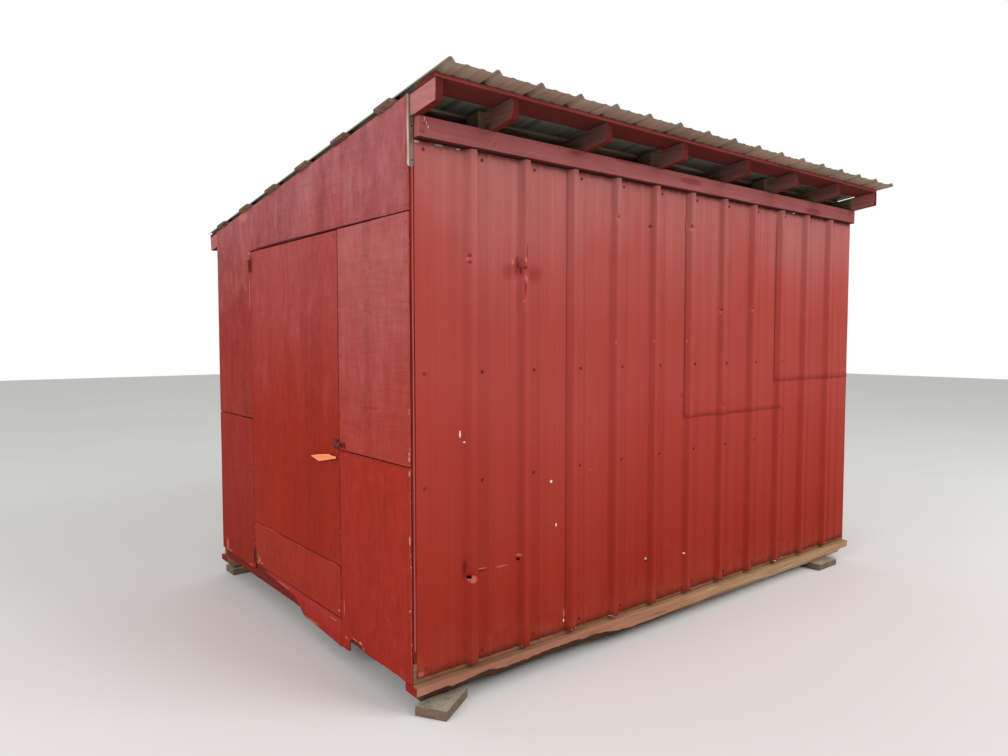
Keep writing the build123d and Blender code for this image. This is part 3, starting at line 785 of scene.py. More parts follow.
front_steel = steel_paint("faded red wall steel", chips=[
    (1.480, 0.400, 0.009, 0.012), (0.243, 1.186, 0.006, 0.020), (0.781, 0.912, 0.010, 0.009),
    (0.812, 0.696, 0.006, 0.011), (1.800, 0.375, 0.006, 0.006), (0.868, 0.205, 0.006, 0.009),
    (0.265, 1.150, 0.006, 0.007),
    # The last three, along the top edge, are bare steel with painted highlight where the bent edge catches
    # the light
    (0.032, 2.412, 0.016, 0.0065), (0.138, 2.413, 0.030, 0.0055), (0.238, 2.412, 0.017, 0.0065),
], scuffs_and_highlights=[
    # Near the dents these are painted highlights on their lit faces; the rest are rubbed paint
    (0.296, 0.536, 0.024, 0.022), (0.350, 0.566, 0.055, 0.0050), (0.475, 0.556, 0.045, 0.0050),
    (0.870, 0.240, 0.008, 0.030), (0.546, 1.955, 0.014, 0.018), (0.600, 1.965, 0.009, 0.018),
    (0.602, 1.878, 0.009, 0.024), (0.592, 1.775, 0.006, 0.008), (1.050, 0.940, 0.006, 0.006),
    (1.204, 1.584, 0.006, 0.008), (1.504, 1.589, 0.006, 0.008), (1.800, 1.588, 0.006, 0.008),
    (0.034, 0.172, 0.022, 0.014), (0.576, 0.590, 0.014, 0.010), (2.110, 1.760, 0.006, 0.008),
    (0.280, 1.950, 0.008, 0.008), (2.425, 1.776, 0.006, 0.008), (1.810, 2.215, 0.008, 0.009),
    (1.210, 2.208, 0.006, 0.007), (1.485, 2.188, 0.006, 0.006),
], shadows=[
    (0.520, 1.905, 0.070, 0.055), (0.660, 1.903, 0.085, 0.060), (0.585, 1.93, 0.040, 0.060),
    (0.300, 0.545, 0.050, 0.050),
], creases=[
    (0.571, 1.968, 0.0045, 0.022), (0.577, 1.942, 0.0045, 0.022), (0.584, 1.916, 0.0060, 0.024),
    (0.598, 1.929, 0.009, 0.009), (0.596, 1.835, 0.0035, 0.050), (0.606, 1.998, 0.0035, 0.050),
    (0.268, 0.590, 0.009, 0.038), (0.284, 0.547, 0.013, 0.014), (0.573, 0.572, 0.010, 0.010),
    (1.820, 2.232, 0.012, 0.016), (1.216, 2.224, 0.009, 0.010), (1.491, 2.204, 0.008, 0.009),
    (2.116, 1.774, 0.008, 0.009), (2.431, 1.790, 0.008, 0.009), (0.286, 1.964, 0.008, 0.010),
    (0.286, 1.934, 0.008, 0.009), (0.937, 1.015, 0.010, 0.012), (1.776, 1.280, 0.007, 0.007),
    (2.131, 1.218, 0.007, 0.007),
])
inner_steel = steel_back("grey inner side of the steel")
WALL_SECTION = (WALL_RIB, 0, RIB_BASE)
ROOF_SECTION = (ROOF_RIB, ROOF_FIRST, ROOF_BASE)
LAYERS = {"1": 0, "2": 1, "3_lower": 0, "4_lower": 1, "3_upper": 2, "4_upper": 3}
dented = [(x, z, 1.6 * wide, 1.6 * tall) for x, z, wide, tall, deep in DENTS if deep > DEEP_DENT]
dented += [(x, z, radius * 1.6, radius * 1.6) for x, z, radius in HOLES]
LAP_SPRUNG, SIDE_SPRUNG = 0.0022, 0.0030
CURL_OUT, CURL_UP = 0.008, 0.006
for name, layer in LAYERS.items():
    node = "front_sheet_" + name
    low, high = shed_box(node)
    x, z = sheet_grid(low[0], high[0], low[2], high[2], WALL_SECTION, dented)
    out = front_relief(x, z) + layer * LAYER + STEEL
    # The upper sheets have sprung off a little along their lap and their left side
    if name in ("3_upper", "4_upper"):
        side = fade(x - low[0], 0.045) * ease((high[2] - z) / 0.3)
        out = out + LAP_SPRUNG * fade(z - low[2], 0.05) + SIDE_SPRUNG * side
    # The first sheet's lowest corner curls out and up
    if name == "1":
        curl = fade(x - low[0], 0.09) * fade(z - low[2], 0.05)
        out = out + CURL_OUT * curl
        z = z + CURL_UP * curl
    sheet = surface(shed(x, -out, z), holed(x, z, HOLES), inside_by(x, z))
    name = node.replace("sheet", "steel")
    piece(name, "shed", front_steel, [sheet], [node], wall=STEEL, back=inner_steel)

# Sheets cover three ribs each, and four on the roof. Every second one lies over its neighbours' side ribs
back_steel = steel_paint("faded red back steel")
SIDE_LAP = 0.038
for node, layer in (("back_sheets_under", 0), ("back_sheets_over", 1)):
    low, high = shed_box(node)
    sheets = []
    for first_rib in (1, 4, 7, 10)[layer::2]:
        left = low[0] if first_rib == 1 else (first_rib - 1) * WALL_RIB - SIDE_LAP
        right = min(LENGTH, (first_rib + 2) * WALL_RIB + SIDE_LAP) if first_rib < 10 else high[0]
        x, z = sheet_grid(left, right, low[2], high[2], WALL_SECTION, row=0.08)
        out = back_relief(x, z) + layer * LAYER + STEEL
        sheets.append(surface(shed(x, WIDTH + out, z)[:, ::-1], None, inside_by(x, z)[:, ::-1]))
    name = node.replace("sheets", "steel")
    piece(name, "shed", back_steel, sheets, [node], wall=STEEL, back=inner_steel)

roof_steel = roof_zinc("weathered roof steel")
ROOF_COVER = 4 * ROOF_RIB
EDGE_WAVE = 0.0016
low, high = shed_box("roof_sheets_under")
s_low = (low[1] - SHEET_BASE * SIN) / COS
s_high = (high[1] - (SHEET_BASE + ROOF_HIGH + STEEL) * SIN) / COS
for node, layer in (("roof_sheets_under", 0), ("roof_sheets_over", 1)):
    sheets = []
    for number in (0, 1, 2, 3)[layer::2]:
        left = ROOF_FIRST + number * ROOF_COVER - ROOF_BASE / 2
        x, s = sheet_grid(left, left + ROOF_COVER + ROOF_BASE, s_low, s_high, ROOF_SECTION, row=0.08)
        lift = SHEET_BASE + roof_relief(x, s) + layer * LAYER + STEEL
        from_end = np.minimum(s - s_low, s_high - s)
        wave = EDGE_WAVE * ripple(x, s * 0, 51 + number, 0.4) * fade(from_end, 0.06)
        sheets.append(surface(roof(x, s, lift - np.abs(wave)), None, inside_by(x, s)))
    piece(node.replace("sheets", "steel"), "shed", roof_steel, sheets, [node], wall=STEEL)


# Plywood
def from_outline(y, z, outline):
    """Each point's distance from a closed outline: the least of its distances from the outline's runs."""
    nearest = np.full(y.shape, 9.0)
    for (y0, z0), (y1, z1) in zip(outline, outline[1:] + outline[:1]):
        run = np.array([y1 - y0, z1 - z0])
        t = np.clip(((y - y0) * run[0] + (z - z0) * run[1]) / (run @ run), 0, 1)
        nearest = np.minimum(nearest, np.hypot(y - y0 - t * run[0], z - z0 - t * run[1]))
    return nearest


def worn_plate(y, z, outline, seed, kept=None, far_end=False, proud=0.0):
    """A sheet of plywood on an end wall from a grid of y and z, with an uneven face and a worn outline.

    Points near the outline move towards the plate's middle by their wear, and the face sinks at its arris.
    At the door end the grid runs from high y to low y, so that the face looks outward.
    """
    inset = from_outline(y, z, outline)
    middle_y, middle_z = y.mean(), z.mean()
    wear = 0.0009 * (1 + ripple(y, z, seed, 0.11, 4)) * fade(inset, 0.004)
    reach = np.hypot(y - middle_y, z - middle_z)
    y = y - (y - middle_y) / reach * wear
    z = z - (z - middle_z) / reach * wear
    face = PLYWOOD - 0.0005 * (1 + ripple(y, z, seed + 1, 0.6)) - 0.0008 * fade(inset, 0.003) + proud
    at = LENGTH + face if far_end else -face
    return surface(shed(at, y, z), kept, inset)


def plate_grid(y_low, y_high, z_low, z_high, step=0.03, more_y=(), more_z=()):
    """A grid from high y to low y and from low z to high z, finer along its outline."""
    edge = np.array([0, 0.002, 0.005, 0.012])
    y = np.concatenate([np.arange(y_low, y_high, step), y_low + edge, y_high - edge, more_y])
    z = np.concatenate([np.arange(z_low, z_high, step), z_low + edge, z_high - edge, more_z])
    return np.meshgrid(thinned(y, 0.0015)[::-1], thinned(z, 0.0015))


def whole_plate(node, seed, proud=None):
    """A rectangular plate that fills a CAD node's box. proud(y, z) is how far it stands off."""
    (_, y_low, z_low), (_, y_high, z_high) = shed_box(node)
    y, z = plate_grid(y_low, y_high, z_low, z_high)
    outline = [(y_low, z_low), (y_high, z_low), (y_high, z_high), (y_low, z_high)]
    return worn_plate(y, z, outline, seed, proud=proud(y, z) if proud else 0.0)


ply_rim = ply_edge("cut plywood edge")
ply_back = bare_ply("bare back of the plywood")
THIN_PLY = PLYWOOD - 0.0016
slope_top = shed_box("door_end_top_panel")[1][2]


def under_slope(y):
    """Height of the end panels' sloping top edge."""
    return slope_top - y * math.tan(PITCH)


def ply_piece(name, node, finish, plates, body="shed"):
    """A piece of plywood that stands for one CAD node, with bare veneers at its cut edges and a bare back."""
    piece(name, body, finish, plates, [node], wall=THIN_PLY, rim=ply_rim, back=ply_back)


ply_piece("right_upper_plywood", "door_end_right_upper", painted_ply(
    "red paint on the right panel", "y", (156, 57, 49), (163, 86, 83), 1.07, 2.13, runs=0.16,
    chips=[(0.650, 1.745, 0.006, 0.012), (0.004, 1.11, 0.005, 0.030), (0.003, 1.30, 0.003, 0.020)],
    bands=[(0.36, 0.05, -0.08), (0.21, 0.03, -0.06)], figure=0.10, bloom=0.3, blotch=0.4,
), [whole_plate("door_end_right_upper", 61)])

# The lower right panel's foot is torn out before NOTCH_SIDE and hangs lower beyond it
low, high = shed_box("door_end_right_lower")
PANEL_FOOT = 0.134
NOTCH_SIDE = 0.572
flap_foot = low[2] - PANEL_FOOT
y, z = plate_grid(low[1], high[1], 0, 1, more_y=[0.5718, 0.5722, *np.arange(0.40, 0.65, 0.0045)])
rise = np.interp(y, [0.0, 0.415, 0.430, 0.455, 0.520, 0.548, 0.5718, 0.5722, 0.65],
                 [0.0, 0.0, 0.014, 0.026, 0.029, 0.020, 0.0, flap_foot, flap_foot])
torn = np.interp(y, [0.40, 0.42, 0.56, 0.575, 0.65], [0.0, 1.0, 1.0, 0.6, 0.5])
foot = PANEL_FOOT + rise + torn * 0.006 * np.abs(ripple(y, y * 0, 63, 0.03, 4))
foot = foot + 0.0008 * (1 + ripple(y, y * 0, 64, 0.1))
part = np.linspace(0, 1, z.shape[0])[:, None] ** 1.25 + z * 0
z = foot + part * (high[2] - foot)
right_lower = worn_plate(y, z, [
    (0, PANEL_FOOT), (0.415, PANEL_FOOT), (0.443, 0.162), (0.544, 0.162), (NOTCH_SIDE, PANEL_FOOT),
    (NOTCH_SIDE, low[2]), (0.65, low[2]), (0.65, high[2]), (0, high[2]),
], 65)
ply_piece("right_lower_plywood", "door_end_right_lower", painted_ply(
    "red paint on the lower right panel", "z", (149, 41, 30), (154, 44, 32), 0.13, 1.06, runs=0.12,
    chips=[(0.20, 0.1355, 0.19, 0.0045), (0.455, 0.166, 0.018, 0.012), (0.430, 0.150, 0.014, 0.008),
           (0.51, 0.1665, 0.035, 0.004), (0.003, 0.755, 0.004, 0.025), (0.006, 0.455, 0.006, 0.006),
           (0.004, 1.04, 0.004, 0.016)],
    rubbed=[(0.62, 0.300, 0.006, 0.060), (0.60, 0.150, 0.020, 0.010)], bloom=0.03,
), [right_lower])

ply_piece("left_plywood", "door_end_left_panel", painted_ply(
    "red paint on the left panel", "z", (140, 37, 26), (144, 44, 36), 0.18, 1.12, runs=0.16,
    chips=[(2.41, 0.19, 0.02, 0.006)],
    rubbed=[(2.340, 0.235, 0.030, 0.060), (2.30, 0.197, 0.07, 0.008), (1.90, 0.195, 0.05, 0.008)], bloom=0.03,
), [whole_plate("door_end_left_panel", 67)])

# The top panel slopes with the roof, and a strip beyond SIDE runs down past the door's HEAD
low, high = shed_box("door_end_top_panel")
SIDE, HEAD = 1.828, 2.130
y, level = plate_grid(0, WIDTH, 0, 2, 0.03, [SIDE], [1.0, 1.005, 0.995])
z = np.where(level <= 1, low[2] + level * (HEAD - low[2]), HEAD + (level - 1) * (under_slope(y) - HEAD))
kept = ~((level[1:, 1:] <= 1.0001) & (y[1:, :-1] <= SIDE + 0.0001))
top_panel = worn_plate(y, z, [
    (0, HEAD), (SIDE, HEAD), (SIDE, low[2]),
    (WIDTH, low[2]), (WIDTH, under_slope(WIDTH)), (0, under_slope(0)),
], 69, kept)
ply_piece("top_plywood", "door_end_top_panel", painted_ply(
    "red paint on the top panel", "y", (143, 48, 40), (156, 88, 89), 1.6, 2.6, runs=0.30,
    chips=[(1.842, 2.118, 0.008, 0.010)],
    bands=[(0.64, 0.05, 0.14), (0.95, 0.10, 0.07), (1.36, 0.06, -0.12), (0.80, 0.05, -0.08)],
    stains=[(1.866, 2.050, 0.050, 0.044), (1.842, 2.085, 0.022, 0.040)],
    rubbed=[(1.84, 1.88, 0.012, 0.13), (1.94, 2.35, 0.10, 0.05)],
    shade=[(1.32, 2.1335, 0.49, 0.0065), (0.75, 2.132, 0.60, 0.0040)], bloom=0.5, blotch=0.9,
), [top_panel])

ply_piece("door_plywood", "door_leaf", painted_ply(
    "red paint on the door", "z", (147, 40, 25), (155, 69, 65), 1.05, 2.2, runs=0.22,
    chips=[(0.662, 1.095, 0.006, 0.010)], bands=[(0.93, 0.16, -0.06), (1.45, 0.12, 0.05)],
    stains=[(1.790, 2.075, 0.050, 0.040), (1.812, 2.045, 0.016, 0.050), (1.806, 0.275, 0.014, 0.02)],
), [whole_plate("door_leaf", 71)], body="door")


def patch_proud(y, z):
    """The door's patch has sprung 1.8 mm off the door above z 0.40 and towards low y."""
    return 0.0018 * ease((z - 0.40) / 0.08) * ease((1.70 - y) / 0.3)


ply_piece("door_patch_plywood", "door_patch", painted_ply(
    "red paint on the door's patch", "y", (151, 45, 32), (153, 47, 34), 0.22, 0.49, runs=0.12,
    chips=[(1.787, 0.285, 0.006, 0.030), (1.772, 0.252, 0.004, 0.030), (1.750, 0.262, 0.005, 0.024),
           (1.715, 0.248, 0.010, 0.006), (1.792, 0.236, 0.006, 0.012), (0.678, 0.262, 0.010, 0.005)],
    rubbed=[(1.55, 0.4860, 0.14, 0.005), (0.74, 0.4860, 0.08, 0.004), (1.15, 0.4865, 0.10, 0.003)],
    bloom=0.03,
), [whole_plate("door_patch", 73, patch_proud)], body="door")

# Two boards under the door, with the foot of the second rising along it
low, high = shed_box("door_sill")
sills = []
for y_low, y_high, foots in ((low[1], 1.104, ([low[1], 1.104], [low[2], 0.108])),
                             (1.107, high[1], ([1.107, 1.216, 1.65], [0.108, 0.182, 0.207]))):
    y, z = plate_grid(y_low, y_high, 0, 1, 0.012)
    foot = np.interp(y, *foots) + 0.005 * np.abs(ripple(y, y * 0, 75, 0.04, 4))
    z = foot + z * (high[2] - foot)
    sills.append(worn_plate(y, z, [*zip(*foots), (y_high, high[2]), (y_low, high[2])], 77))
ply_piece("sill_boards", "door_sill", painted_ply(
    "red paint on the sill board", "y", (150, 42, 32), (158, 50, 42), 0.10, 0.22, runs=0.1,
    chips=[(1.16, 0.130, 0.010, 0.014)],
    rubbed=[(1.00, 0.112, 0.10, 0.006), (0.74, 0.200, 0.06, 0.004), (1.40, 0.200, 0.16, 0.006)], bloom=0.03,
), sills)

# The far end in two halves
low, high = shed_box("far_end_panels")
halves = []
for y_low, y_high in ((0, 1.217), (1.221, WIDTH)):
    y, z = plate_grid(y_low, y_high, 0, 1, 0.06)
    y = y[:, ::-1]
    z = low[2] + z * (under_slope(y) - low[2])
    corners = [(y_low, low[2]), (y_high, low[2]), (y_high, under_slope(y_high)), (y_low, under_slope(y_low))]
    halves.append(worn_plate(y, z, corners, 79, far_end=True))
far_red = painted_ply("red paint on the far end", "z", (147, 42, 30), (162, 84, 80), 0.4, 2.6)
ply_piece("far_end_plywood", "far_end_panels", far_red, halves)


# Timber
def timber(place, along, wide, tall, seed, under=None, cut=None, stations=(), step=0.11, arris=0.003,
           wear=0.0010):
    """A sawn board: a rounded rectangle in the limits wide and tall, carried along it by place(a, b, c).

    Its faces lie in from the limits by wear * (1 + ripple) / 2. cut says how far up and back the lower front
    arris is broken away at a: the front face's points move up and the underside's back by their share of it.
    under gives the least c.
    """
    near_ends = np.array([0.002, 0.02])
    spacing = 0.02
    a = np.arange(along[0], along[1], step)
    a = thinned(np.concatenate([a, [along[1]], along[0] + near_ends, along[1] - near_ends, stations]), 0.0012)
    half_b, half_c = (wide[1] - wide[0]) / 2, (tall[1] - tall[0]) / 2
    over_b, over_c = half_b - arris, half_c - arris
    turn = np.linspace(0, math.pi / 2, 3)
    arc_b, arc_c = np.cos(turn) * arris, np.sin(turn) * arris
    flat_b = np.linspace(1, -1, 2 + int(half_b / spacing))[1:-1] * over_b
    flat_c = np.linspace(1, -1, 2 + int(half_c / spacing))[1:-1] * over_c
    side_b, side_c = half_b + 0 * flat_c, half_c + 0 * flat_b
    b = [over_b + arc_b, flat_b, -over_b - arc_c, -side_b, -over_b - arc_b, -flat_b, over_b + arc_c, side_b]
    c = [over_c + arc_c, side_c, over_c + arc_b, flat_c, -over_c - arc_c, -side_c, -over_c - arc_b, -flat_c]
    b, c = np.concatenate(b), np.concatenate(c)
    around = np.arange(len(b)) * spacing
    a, b, c, around = np.broadcast_arrays(a[:, None], b, c, around)
    front = np.clip(1 - (b + half_b) / arris, 0, 1)
    foot = np.clip(1 - (c + half_c) / arris, 0, 1)
    less = wear * np.maximum(1 + ripple(a, around, seed, 0.5, 4), 0) / 2
    less = less + 2 * wear * ((np.abs(a - along[0]) < 0.001) | (np.abs(a - along[1]) < 0.001))
    b = b * (1 - less / half_b) + (wide[0] + wide[1]) / 2
    c = c * (1 - less / half_c) + (tall[0] + tall[1]) / 2
    if cut:
        up, back = cut(a) * front / (2 * half_c), cut(a) * foot / (2 * half_b)
        b = b + back * (wide[1] - b)
        c = c + up * (tall[1] - c)
    if under:
        c = np.maximum(c, under(a))
    points = place(a, b, c)
    faces = tube(*points.shape[:2])
    axes = place(np.array([0.0, 1, 0, 0]), np.array([0.0, 0, 1, 0]), np.array([0.0, 0, 0, 1]))
    if np.linalg.det(axes[1:] - axes[0]) < 0:
        faces = [face[::-1] for face in faces]
    return points.reshape(-1, 3), faces, np.zeros(points.size // 3)


def board_from(node, seed, **more):
    """A board along x that fills a CAD node's box."""
    low, high = shed_box(node)
    return timber(shed, (low[0], high[0]), (low[1], high[1]), (low[2], high[2]), seed, **more)


header_red = red_board("faded paint on the header", (160, 100, 98), (124, 62, 60))
front_header_red = red_board(
    "faded paint on the front header", (164, 97, 95), (147, 79, 77), shade_line=2.4275,
    knots=[(0.036, 2.446, 0.022, 0.012), (0.050, 2.478, 0.030, 0.008), (0.379, 2.462, 0.007, 0.006),
           (0.414, 2.460, 0.009, 0.006), (0.794, 2.500, 0.010, 0.005), (0.889, 2.490, 0.050, 0.012)],
    scrapes=[(0.047, 2.498, 0.003, 0.011), (0.056, 2.482, 0.0025, 0.009), (0.064, 2.468, 0.0035, 0.010)])
for node, finish, seed in (("front_header", front_header_red, 81), ("back_header", header_red, 82)):
    piece(node + "_board", "shed", finish, [board_from(node, seed)], [node])

FRONT_EAVE = -0.200
BACK_EAVE = WIDTH / COS + 0.165
BOARD_WIDE = 0.140
FIRST_BOARD, LAST_BOARD = 0.090, BACK_EAVE - 0.400
board_starts = np.linspace(FIRST_BOARD, LAST_BOARD, 6)
BOARD_LEVEL = (STUD, SHEET_BASE)
# The eave boards' dark base and under colours are painted shade; the front face keeps the paint's own red
eave_red = red_board("red paint on the eave boards, with painted shade", (122, 50, 46), (88, 34, 32),
                     front=(164, 74, 72), under=(98, 44, 40))
for node, start, seed in (("eave_purlin_front", FRONT_EAVE, 83),
                          ("eave_purlin_back", BACK_EAVE - BOARD_WIDE, 84)):
    board = timber(roof, (0, LENGTH), (start, start + BOARD_WIDE), BOARD_LEVEL, seed)
    piece(node.replace("purlin", "board"), "shed", eave_red, [board], [node])
purlin_low, purlin_high = shed_box("purlins")
purlin_wood = bare_wood("bare roof boards", "x", (176, 148, 128), (120, 98, 84), ends=(106, 82, 72))
boards = [timber(roof, (purlin_low[0], purlin_high[0]), (start, start + BOARD_WIDE), BOARD_LEVEL, 90 + k)
          for k, start in enumerate(board_starts)]
piece("roof_boards", "shed", purlin_wood, boards, ["purlins"])

front_header, back_header = shed_box("front_header"), shed_box("back_header")
NOTCH_SLACK = 0.0004


def over_headers(s):
    """How far a rafter's underside is notched at s, where it crosses the tops of the two headers."""
    line, at = rafter_foot - s * SIN, s * COS
    over_front = (at > front_header[0][1] - NOTCH_SLACK) & (at < NOTCH_SLACK)
    over_back = (at > back_header[0][1] - NOTCH_SLACK) & (at < back_header[1][1] + NOTCH_SLACK)
    front = over_front * (front_header[1][2] - line)
    return np.maximum(front, over_back * (back_header[1][2] - line)) / COS + 0.0002


def rafter(left, seed):
    """A rafter whose left side is at x = left. Its front end is cut upright, eased over the last 100 mm."""
    notches = np.array([front_header[0][1], 0, WIDTH, WIDTH + LUMBER]) / COS
    stations = np.concatenate([notches - 0.0012, notches + 0.0012])

    def place(s, x, h):
        lean = (STUD - h) * math.tan(PITCH) * np.clip((-0.100 - s) / 0.100, 0, 1)
        return roof(x, s + lean, h)

    side = (left, left + LUMBER)
    return timber(place, (FRONT_EAVE, BACK_EAVE), side, (0, STUD), seed, over_headers, stations=stations)


rafter_red = rafter_paint("paint on the rafters", (128, 92, 86), (98, 66, 62))
outer_rafter_red = rafter_paint("paint on the outer rafters", (178, 116, 112), (160, 98, 94))
for name, node, finish, first_seed, sides in (
    ("middle_rafters", "rafters", rafter_red, 100, (0.385, 0.955, 1.525, 2.095, 2.603, 3.112)),
    ("outer_rafters", "end_rafters", outer_rafter_red, 110, (0.0, 3.620)),
):
    rafters = [rafter(left, first_seed + k) for k, left in enumerate(sides)]
    piece(name, "shed", finish, rafters, [node])

# Skids and their blocks
SKID = 0.089
SKID_OUT = 0.038
SKID_BEVEL = 0.055
skid_low, skid_high = shed_box("skid_front")


def bevelled(a):
    """Least height of a skid at a: its underside slopes up at 45 degrees to both ends."""
    return skid_low[2] + np.maximum(0, SKID_BEVEL - np.minimum(a - skid_low[0], skid_high[0] - a))


ROT = [(0.0, 0.050), (0.155, 0.055), (0.175, 0.046), (0.37, 0.064), (0.46, 0.047), (0.61, 0.050),
       (0.72, 0.057), (0.93, 0.057), (0.97, 0.049), (1.06, 0.053), (1.12, 0.047), (1.21, 0.032),
       (1.32, 0.022), (1.50, 0.022), (1.92, 0.029), (2.54, 0.038), (3.02, 0.042), (3.28, 0.040)]


def rotted(a):
    """How much of its lower front arris the front skid has lost: half its height at first, least midway."""
    return np.interp(a, *np.array(ROT).T) + 0.0022 * ripple(a, a * 0, 121, 0.05, 3)


bevel_steps = np.arange(0, 0.07, 0.011)
rot_steps = np.arange(0.07, 1.4, 0.012)
skid_steps = np.concatenate([skid_low[0] + bevel_steps, skid_high[0] - bevel_steps, rot_steps])
weathered = skid_wood("weathered skid")
for node, cut in (("skid_front", rotted), ("skid_back", None)):
    skid = board_from(node, 123, under=bevelled, cut=cut, stations=skid_steps, step=0.06,
                      arris=0.005, wear=0.003)
    piece(node + "_timber", "shed", weathered, [skid], [node])

BLOCK_LONG, BLOCK_WIDE, BLOCK_HIGH = 0.230, 0.150, 0.044


def block(x, y, turn, seed):
    """A block that lies flat on the ground with its middle at x, y, turned by so many degrees."""
    c, s = math.cos(math.radians(turn)), math.sin(math.radians(turn))

    def place(a, b, h):
        return shed(x + a * c - b * s, y + a * s + b * c, h)

    long, wide = (-BLOCK_LONG / 2, BLOCK_LONG / 2), (-BLOCK_WIDE / 2, BLOCK_WIDE / 2)
    return timber(place, long, wide, (0, BLOCK_HIGH), seed, step=0.02, arris=0.004, wear=0.0022)


near_block, far_block = 0.140, LENGTH - 0.318
front_line, back_line = SKID / 2 - SKID_OUT, WIDTH + SKID_OUT - SKID / 2
blocks = [
    block(near_block, front_line - 0.012, 32, 131), block(far_block, front_line, 0, 132),
    block(near_block, back_line, 0, 133), block(far_block, back_line, 0, 134),
]
piece("blocks", "shed", block_wood("dirty timber blocks"), blocks, ["base_blocks"])


# Screws, nails and the tag
def turned(places, outward, profile, sides=8):
    """Small heads: a profile of (radius, height) carried round an axis through each place along outward."""
    outward = np.array(outward) / np.linalg.norm(outward)
    across = np.cross(outward, [0.3, 0.5, 0.8])
    across /= np.linalg.norm(across)
    up = np.cross(outward, across)
    angle = np.linspace(0, 2 * math.pi, sides, endpoint=False)
    ring = np.cos(angle)[:, None] * across + np.sin(angle)[:, None] * up
    radius, height = np.array(profile).T
    one = (radius[:, None, None] * ring + height[:, None, None] * outward).reshape(-1, 3)
    *walls, _, top = tube(len(profile), sides)
    points = (np.array(places)[:, None] + one).reshape(-1, 3)
    faces = [[corner_number + k * len(one) for corner_number in face]
             for k in range(len(places)) for face in (*walls, top)]
    return points, faces, np.zeros(len(points))


SCREW = [(0.0085, -0.0004), (0.0082, 0.0012), (0.0052, 0.0018), (0.0051, 0.0060), (0.0040, 0.0068)]
FLAT_SCREW = [(0.0042, -0.0006), (0.0042, 0.0004), (0.0030, 0.0009)]
NAIL = [(0.0042, -0.0006), (0.0040, 0.0003), (0.0028, 0.0006)]
FRONT, BACK, LEFT, UP = (0, -1, 0), (0, 1, 0), (-1, 0, 0), (0, SIN, COS)
FRONT_ROWS, BACK_ROWS = (2.385, 1.457, 0.97, 0.19), (2.10, 1.20, 0.19)
UPPER_SIDE, UPPER_FOOT = 1.79, 1.3

# Screws beside each rib, on top of three layers of steel where the upper sheets lie and one elsewhere
beside_ribs = np.arange(WALL_RIBS + 1) * WALL_RIB + 0.062
x, z = np.meshgrid(beside_ribs, FRONT_ROWS)
layers = np.where((x > UPPER_SIDE) & (z > UPPER_FOOT), 3, 1)
front_screws = shed(x, -front_relief(x, z) - layers * LAYER, z).reshape(-1, 3)
x, z = np.meshgrid(beside_ribs, BACK_ROWS)
back_screws = shed(x, WIDTH + back_relief(x, z) + LAYER, z).reshape(-1, 3)
red_screw = plain_metal("painted screws", (158, 66, 56), (110, 34, 28), 0.5)
wall_screws = [turned(front_screws, FRONT, SCREW), turned(back_screws, BACK, SCREW)]
piece("wall_screws", "shed", red_screw, wall_screws)
board_middles = [*(board_starts + BOARD_WIDE / 2), FRONT_EAVE + BOARD_WIDE / 2, BACK_EAVE - BOARD_WIDE / 2]
x, s = np.meshgrid(ROOF_FIRST + 0.045 + np.arange(16) * ROOF_RIB, board_middles)
roof_screws = roof(x, s, SHEET_BASE + roof_relief(x, s) + 2 * STEEL).reshape(-1, 3)
zinc_screw = plain_metal("roof screws", (150, 146, 132), (100, 92, 78), 0.45)
piece("roof_screws", "shed", zinc_screw, [turned(roof_screws, UP, SCREW)])


def nail_rows(heights, across):
    """Places (y, z) of nails at each height, one at each place across."""
    return [(y, z) for z in heights for y in across]


def on_plywood(places):
    """Nail places (y, z) on the outer face of the door end's plywood."""
    y, z = np.array(places).T
    return shed(0.0003 - PLYWOOD, y, z)


wall_nails = nail_rows((0.19, 0.40, 0.60, 0.80, 1.00, 1.12, 1.32, 1.52, 1.72, 1.92, 2.08),
                       (0.018, 0.325, 0.630))
wall_nails += nail_rows((0.24, 0.45, 0.65, 0.85, 1.05, 1.16, 1.36, 1.56, 1.76, 1.96), (1.848, 2.14, 2.418))
top_nails = (0.02, 0.24, 0.45, 0.66, 0.86, 1.06, 1.26, 1.46, 1.66)
wall_nails += [(y, z) for y in top_nails for z in (2.150, 2.30 - y * 0.02)]
wall_nails += nail_rows((0.200,), (0.70, 0.88, 1.05, 1.15, 1.30, 1.50))
door_nails = nail_rows((0.26, 0.45, 0.53, 0.75, 1.00, 1.25, 1.50, 1.75, 2.00, 2.10), (0.690, 1.788))
door_nails += nail_rows((0.46, 0.52, 1.30, 2.09), (0.90, 1.12, 1.35, 1.58))
nail_red = plain_metal("painted nail heads", (150, 60, 52), (92, 34, 26), 0.6)
piece("wall_nails", "shed", nail_red, [turned(on_plywood(wall_nails), LEFT, NAIL)])
piece("door_nails", "door", nail_red, [turned(on_plywood(door_nails), LEFT, NAIL)])
strap_nails = [shed(0.0085, -0.0021, z) for z in (2.333, 2.470)]
dark_nail = plain_metal("dark strap nails", (78, 40, 34), (48, 22, 18), 0.6)
piece("strap_nail", "shed", dark_nail, [turned(strap_nails, FRONT, NAIL)])

PIN_Y = 1.8245
LEAF_FACE = -0.0142


def hinge_screws(side):
    """Screws in the two hinge leaves on one side of the pin, three to a leaf, the outer two further off."""
    return [shed(LEAF_FACE, PIN_Y + side * (0.0175 + abs(up) * 0.2), level + up)
            for level in (0.270, 2.043) for up in (-0.026, 0.0, 0.026)]


hasp_screws = [shed(LEAF_FACE, y, z) for y in (0.683, 0.712) for z in (1.077, 1.103)]
rusty = plain_metal("rusty screws", (120, 74, 54), (70, 38, 28), 0.65)
for name, body, places in (("hinge_screws_door", "door", hinge_screws(-1) + hasp_screws),
                           ("hinge_screws_frame", "shed", hinge_screws(1))):
    piece(name, body, rusty, [turned(places, LEFT, FLAT_SCREW)])

